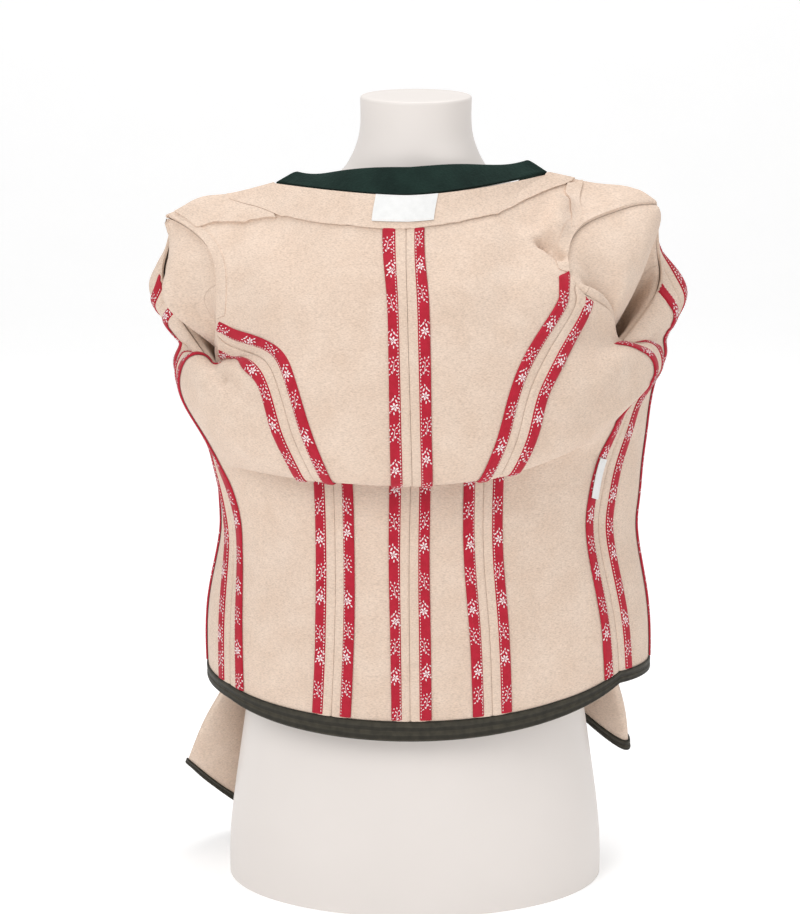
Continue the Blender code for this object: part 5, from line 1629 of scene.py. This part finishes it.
def front_facing(side):
    """Facing down a front edge and round its neck: its inner edge turns out below the shoulder."""
    v = np.concatenate([np.linspace(*rows) for rows in FRONT_FACING_ROWS])
    turn = smooth_step((v - FACING_V + FACING_TURN_LOW) / FACING_TURN)
    edge = FRONT_FACING_EDGE + (SHOULDER_SHARE - FRONT_FACING_EDGE) * turn + ragged(len(v), EDGE_SHAKE)
    s = edge[:, None] + (NEAR_EDGE - edge[:, None]) * np.linspace(0.0, 1.0, FRONT_FACING_COLUMNS)
    return layer_on(FRONTS[side], s, np.broadcast_to(v[:, None], s.shape), FACING_LAYER, f"facing_front_{side}",
                    [f"front_facing_{side}"], FRONT_FACING_WIDTH)


facing_pieces = [back_facing(), front_facing("left"), front_facing("right")]
print("facings", [piece.name for piece in facing_pieces])

# %% [markdown]
# ## Turnings
#
# The turnings of the shoulder seams and armholes are raw too, and show as narrow strips of a second layer. They are
# made as the facings are, between two edges read from the picture.

# %% Turnings
TURNING = 11.0 * MM
TURNING_START = 0.4 * MM
LEFT_SHOULDER_LAYER = (0.15 * MM, 2.6 * MM)
RIGHT_SHOULDER_LAYER = (0.15 * MM, 2.0 * MM)
ARMHOLE_LAYER = (0.1 * MM, 1.7 * MM)
UNDER_FACING, LEAST_TURNING = 0.003, 0.006
ABOVE_TAPE = 0.02
# lengths between which an armhole's turning shows, from above the princess tape
ARMHOLE_TURNINGS = {"left": (V["armhole"] + ABOVE_TAPE, 0.975), "right": (V["blade"] + ABOVE_TAPE, 0.97)}
# points along and across the left, the right and the armhole turnings
LEFT_GRID, RIGHT_GRID, ARMHOLE_GRID = (90, 18), (40, 12), (90, 9)
# raw edge of the left shoulder's turning: place across the back and length
SHOULDER_EDGE = np.array((
    (-0.965, 0.922), (-0.955, 0.917), (-0.881, 0.924), (-0.818, 0.921), (-0.745, 0.914), (-0.657, 0.919),
    (-0.60, 0.917),
))
# two raw edges of the right shoulder's turning, from the ridge down to the pucker
RIGHT_TURNING = np.array((
    (0.672, 0.988, 0.705, 0.998), (0.740, 0.966, 0.770, 0.977), (0.817, 0.948, 0.844, 0.956),
    (0.880, 0.932, 0.910, 0.941), (0.927, 0.920, 0.955, 0.929), (0.965, 0.905, 0.990, 0.912),
))


def left_shoulder_turning():
    """Turning of the left shoulder seam, from its raw edge up to the ridge or under the facing."""
    s = np.linspace(SHOULDER_EDGE[0, 0], SHOULDER_EDGE[-1, 0], LEFT_GRID[0])
    low = np.interp(s, *SHOULDER_EDGE.T) + ragged(len(s), EDGE_SHAKE)
    facing = np.interp(s, *FACING_EDGE.T, left=NEAR_EDGE)
    high = np.maximum(np.minimum(NEAR_EDGE, facing - UNDER_FACING), low + LEAST_TURNING)
    v = low + (high - low) * np.linspace(0.0, 1.0, LEFT_GRID[1])[:, None]
    return layer_on(BACK, np.broadcast_to(s, v.shape), v, LEFT_SHOULDER_LAYER, "turning_shoulder_left", [])


def right_shoulder_turning():
    """Turning of the right shoulder seam, between its two raw edges."""
    place = np.linspace(0.0, len(RIGHT_TURNING) - 1.0, RIGHT_GRID[0])
    s0, v0, s1, v1 = natural_spline(np.arange(len(RIGHT_TURNING)), RIGHT_TURNING)(place).T[:, :, None]
    share = np.linspace(0.0, 1.0, RIGHT_GRID[1])
    return layer_on(BACK, s0 + (s1 - s0) * share, v0 + (v1 - v0) * share, RIGHT_SHOULDER_LAYER,
                    "turning_shoulder_right", [])


def back_spread(s, v):
    """Metres across the back for one unit of s, at several lengths."""
    return np.linalg.norm(BACK.tangents(np.full_like(v, s), v)[0], axis=1)


def armhole_turning(side, low, high):
    """Turning along the back edge of an armhole: a strip from the raw edge to the stitched line."""
    sign = SIDES[side]
    v = np.linspace(low, high, ARMHOLE_GRID[0])
    spread = back_spread(sign, v)
    s = sign * (1.0 - np.linspace(TURNING_START, TURNING, ARMHOLE_GRID[1]) / spread[:, None])
    v = np.broadcast_to(v[:, None], s.shape)
    return layer_on(BACK, s, v, ARMHOLE_LAYER, f"turning_armhole_{side}", [])


turning_pieces = [left_shoulder_turning(), right_shoulder_turning(),
                  *(armhole_turning(side, *ends) for side, ends in ARMHOLE_TURNINGS.items())]
print("turnings", [piece.name for piece in turning_pieces])

# %% [markdown]
# ## Labels
#
# A white satin label sits on the neck facing and a narrow one in the right side seam. Both are bare. A flat card
# would cut into the curved cloth, so a label is a thin strip that follows it, a little fuller than the cloth, held by
# stitches along its ends.

# %% Labels
LABEL_THICK = 0.6 * MM
LABEL_ROWS, LABEL_POINTS = 24, 40
# step, length, width and rise of the stitches, and their places across
LABEL_STITCH = (2.4 * MM, 1.6 * MM, 0.4 * MM, 0.1 * MM)
LABEL_STITCH_PLACES = (0.05, 0.95)
# middle across the back, upper length, height and width of the label, height off the cloth and fullness
LABELS = {
    "neck": (0.0, 0.9975, 24.0 * MM, 52.0 * MM, 2.5 * MM, 0.4 * MM),
    "care": (0.93, V["tuck_top"], 38.0 * MM, 9.0 * MM, 3.2 * MM, 0.8 * MM),
}


def label(kind, middle, high, tall, wide, rise, fullness):
    """Strip on the back below a length, its middle a little fuller than its ends."""
    across = np.linspace(-1.0, 1.0, LABEL_POINTS)
    along = np.linspace(0.0, 1.0, LABEL_ROWS)[:, None]
    length = np.linalg.norm(BACK.tangents(np.array([middle]), np.array([high]))[1])
    v = high - tall / length * (1.0 - along[:, 0])
    s = middle + np.outer(wide / 2 / back_spread(middle, v), across)
    v = np.repeat(v[:, None], LABEL_POINTS, axis=1)
    lift = rise + fullness * (1 - across ** 2) * np.sin(math.pi * along)
    outer, inner = on_cloth(BACK, s, v, lift + LABEL_THICK), on_cloth(BACK, s, v, lift)
    uv = flat_places(across * wide / 2, tall * along)
    shown = np.swapaxes(outer, 0, 1)[:, ::-1]
    marks = [(*stitches(shown, place, *LABEL_STITCH), 1) for place in LABEL_STITCH_PLACES]
    return add_wall(f"label_{kind}", outer, inner, ["label", "white_thread"], uv=np.concatenate([uv, uv]),
                    nodes=[f"{kind}_label"], marks=marks)


label_pieces = {kind: label(kind, *plan) for kind, plan in LABELS.items()}
print("labels", list(label_pieces))

# %% [markdown]
# ## What each cloth is
#
# Last, every sheet of cloth states the flat piece that it was cut from. The sizes could be typed in, but they are
# measured on each piece's own grid, so they stay true when a table changes.
# Only the front facings' width is set.

# %% Cloth cuts
for panel_name, panel in PANELS.items():
    declare(panel_pieces[panel_name], panel.middle)
for node, middle in sleeve_middles.items():
    side = node.split("_")[-1]
    declare(sleeve_pieces[node], middle)
declare(collar_piece, collar_middle)
for name, cut in CLOTH_CUTS.items():
    print("cut", name, cut)
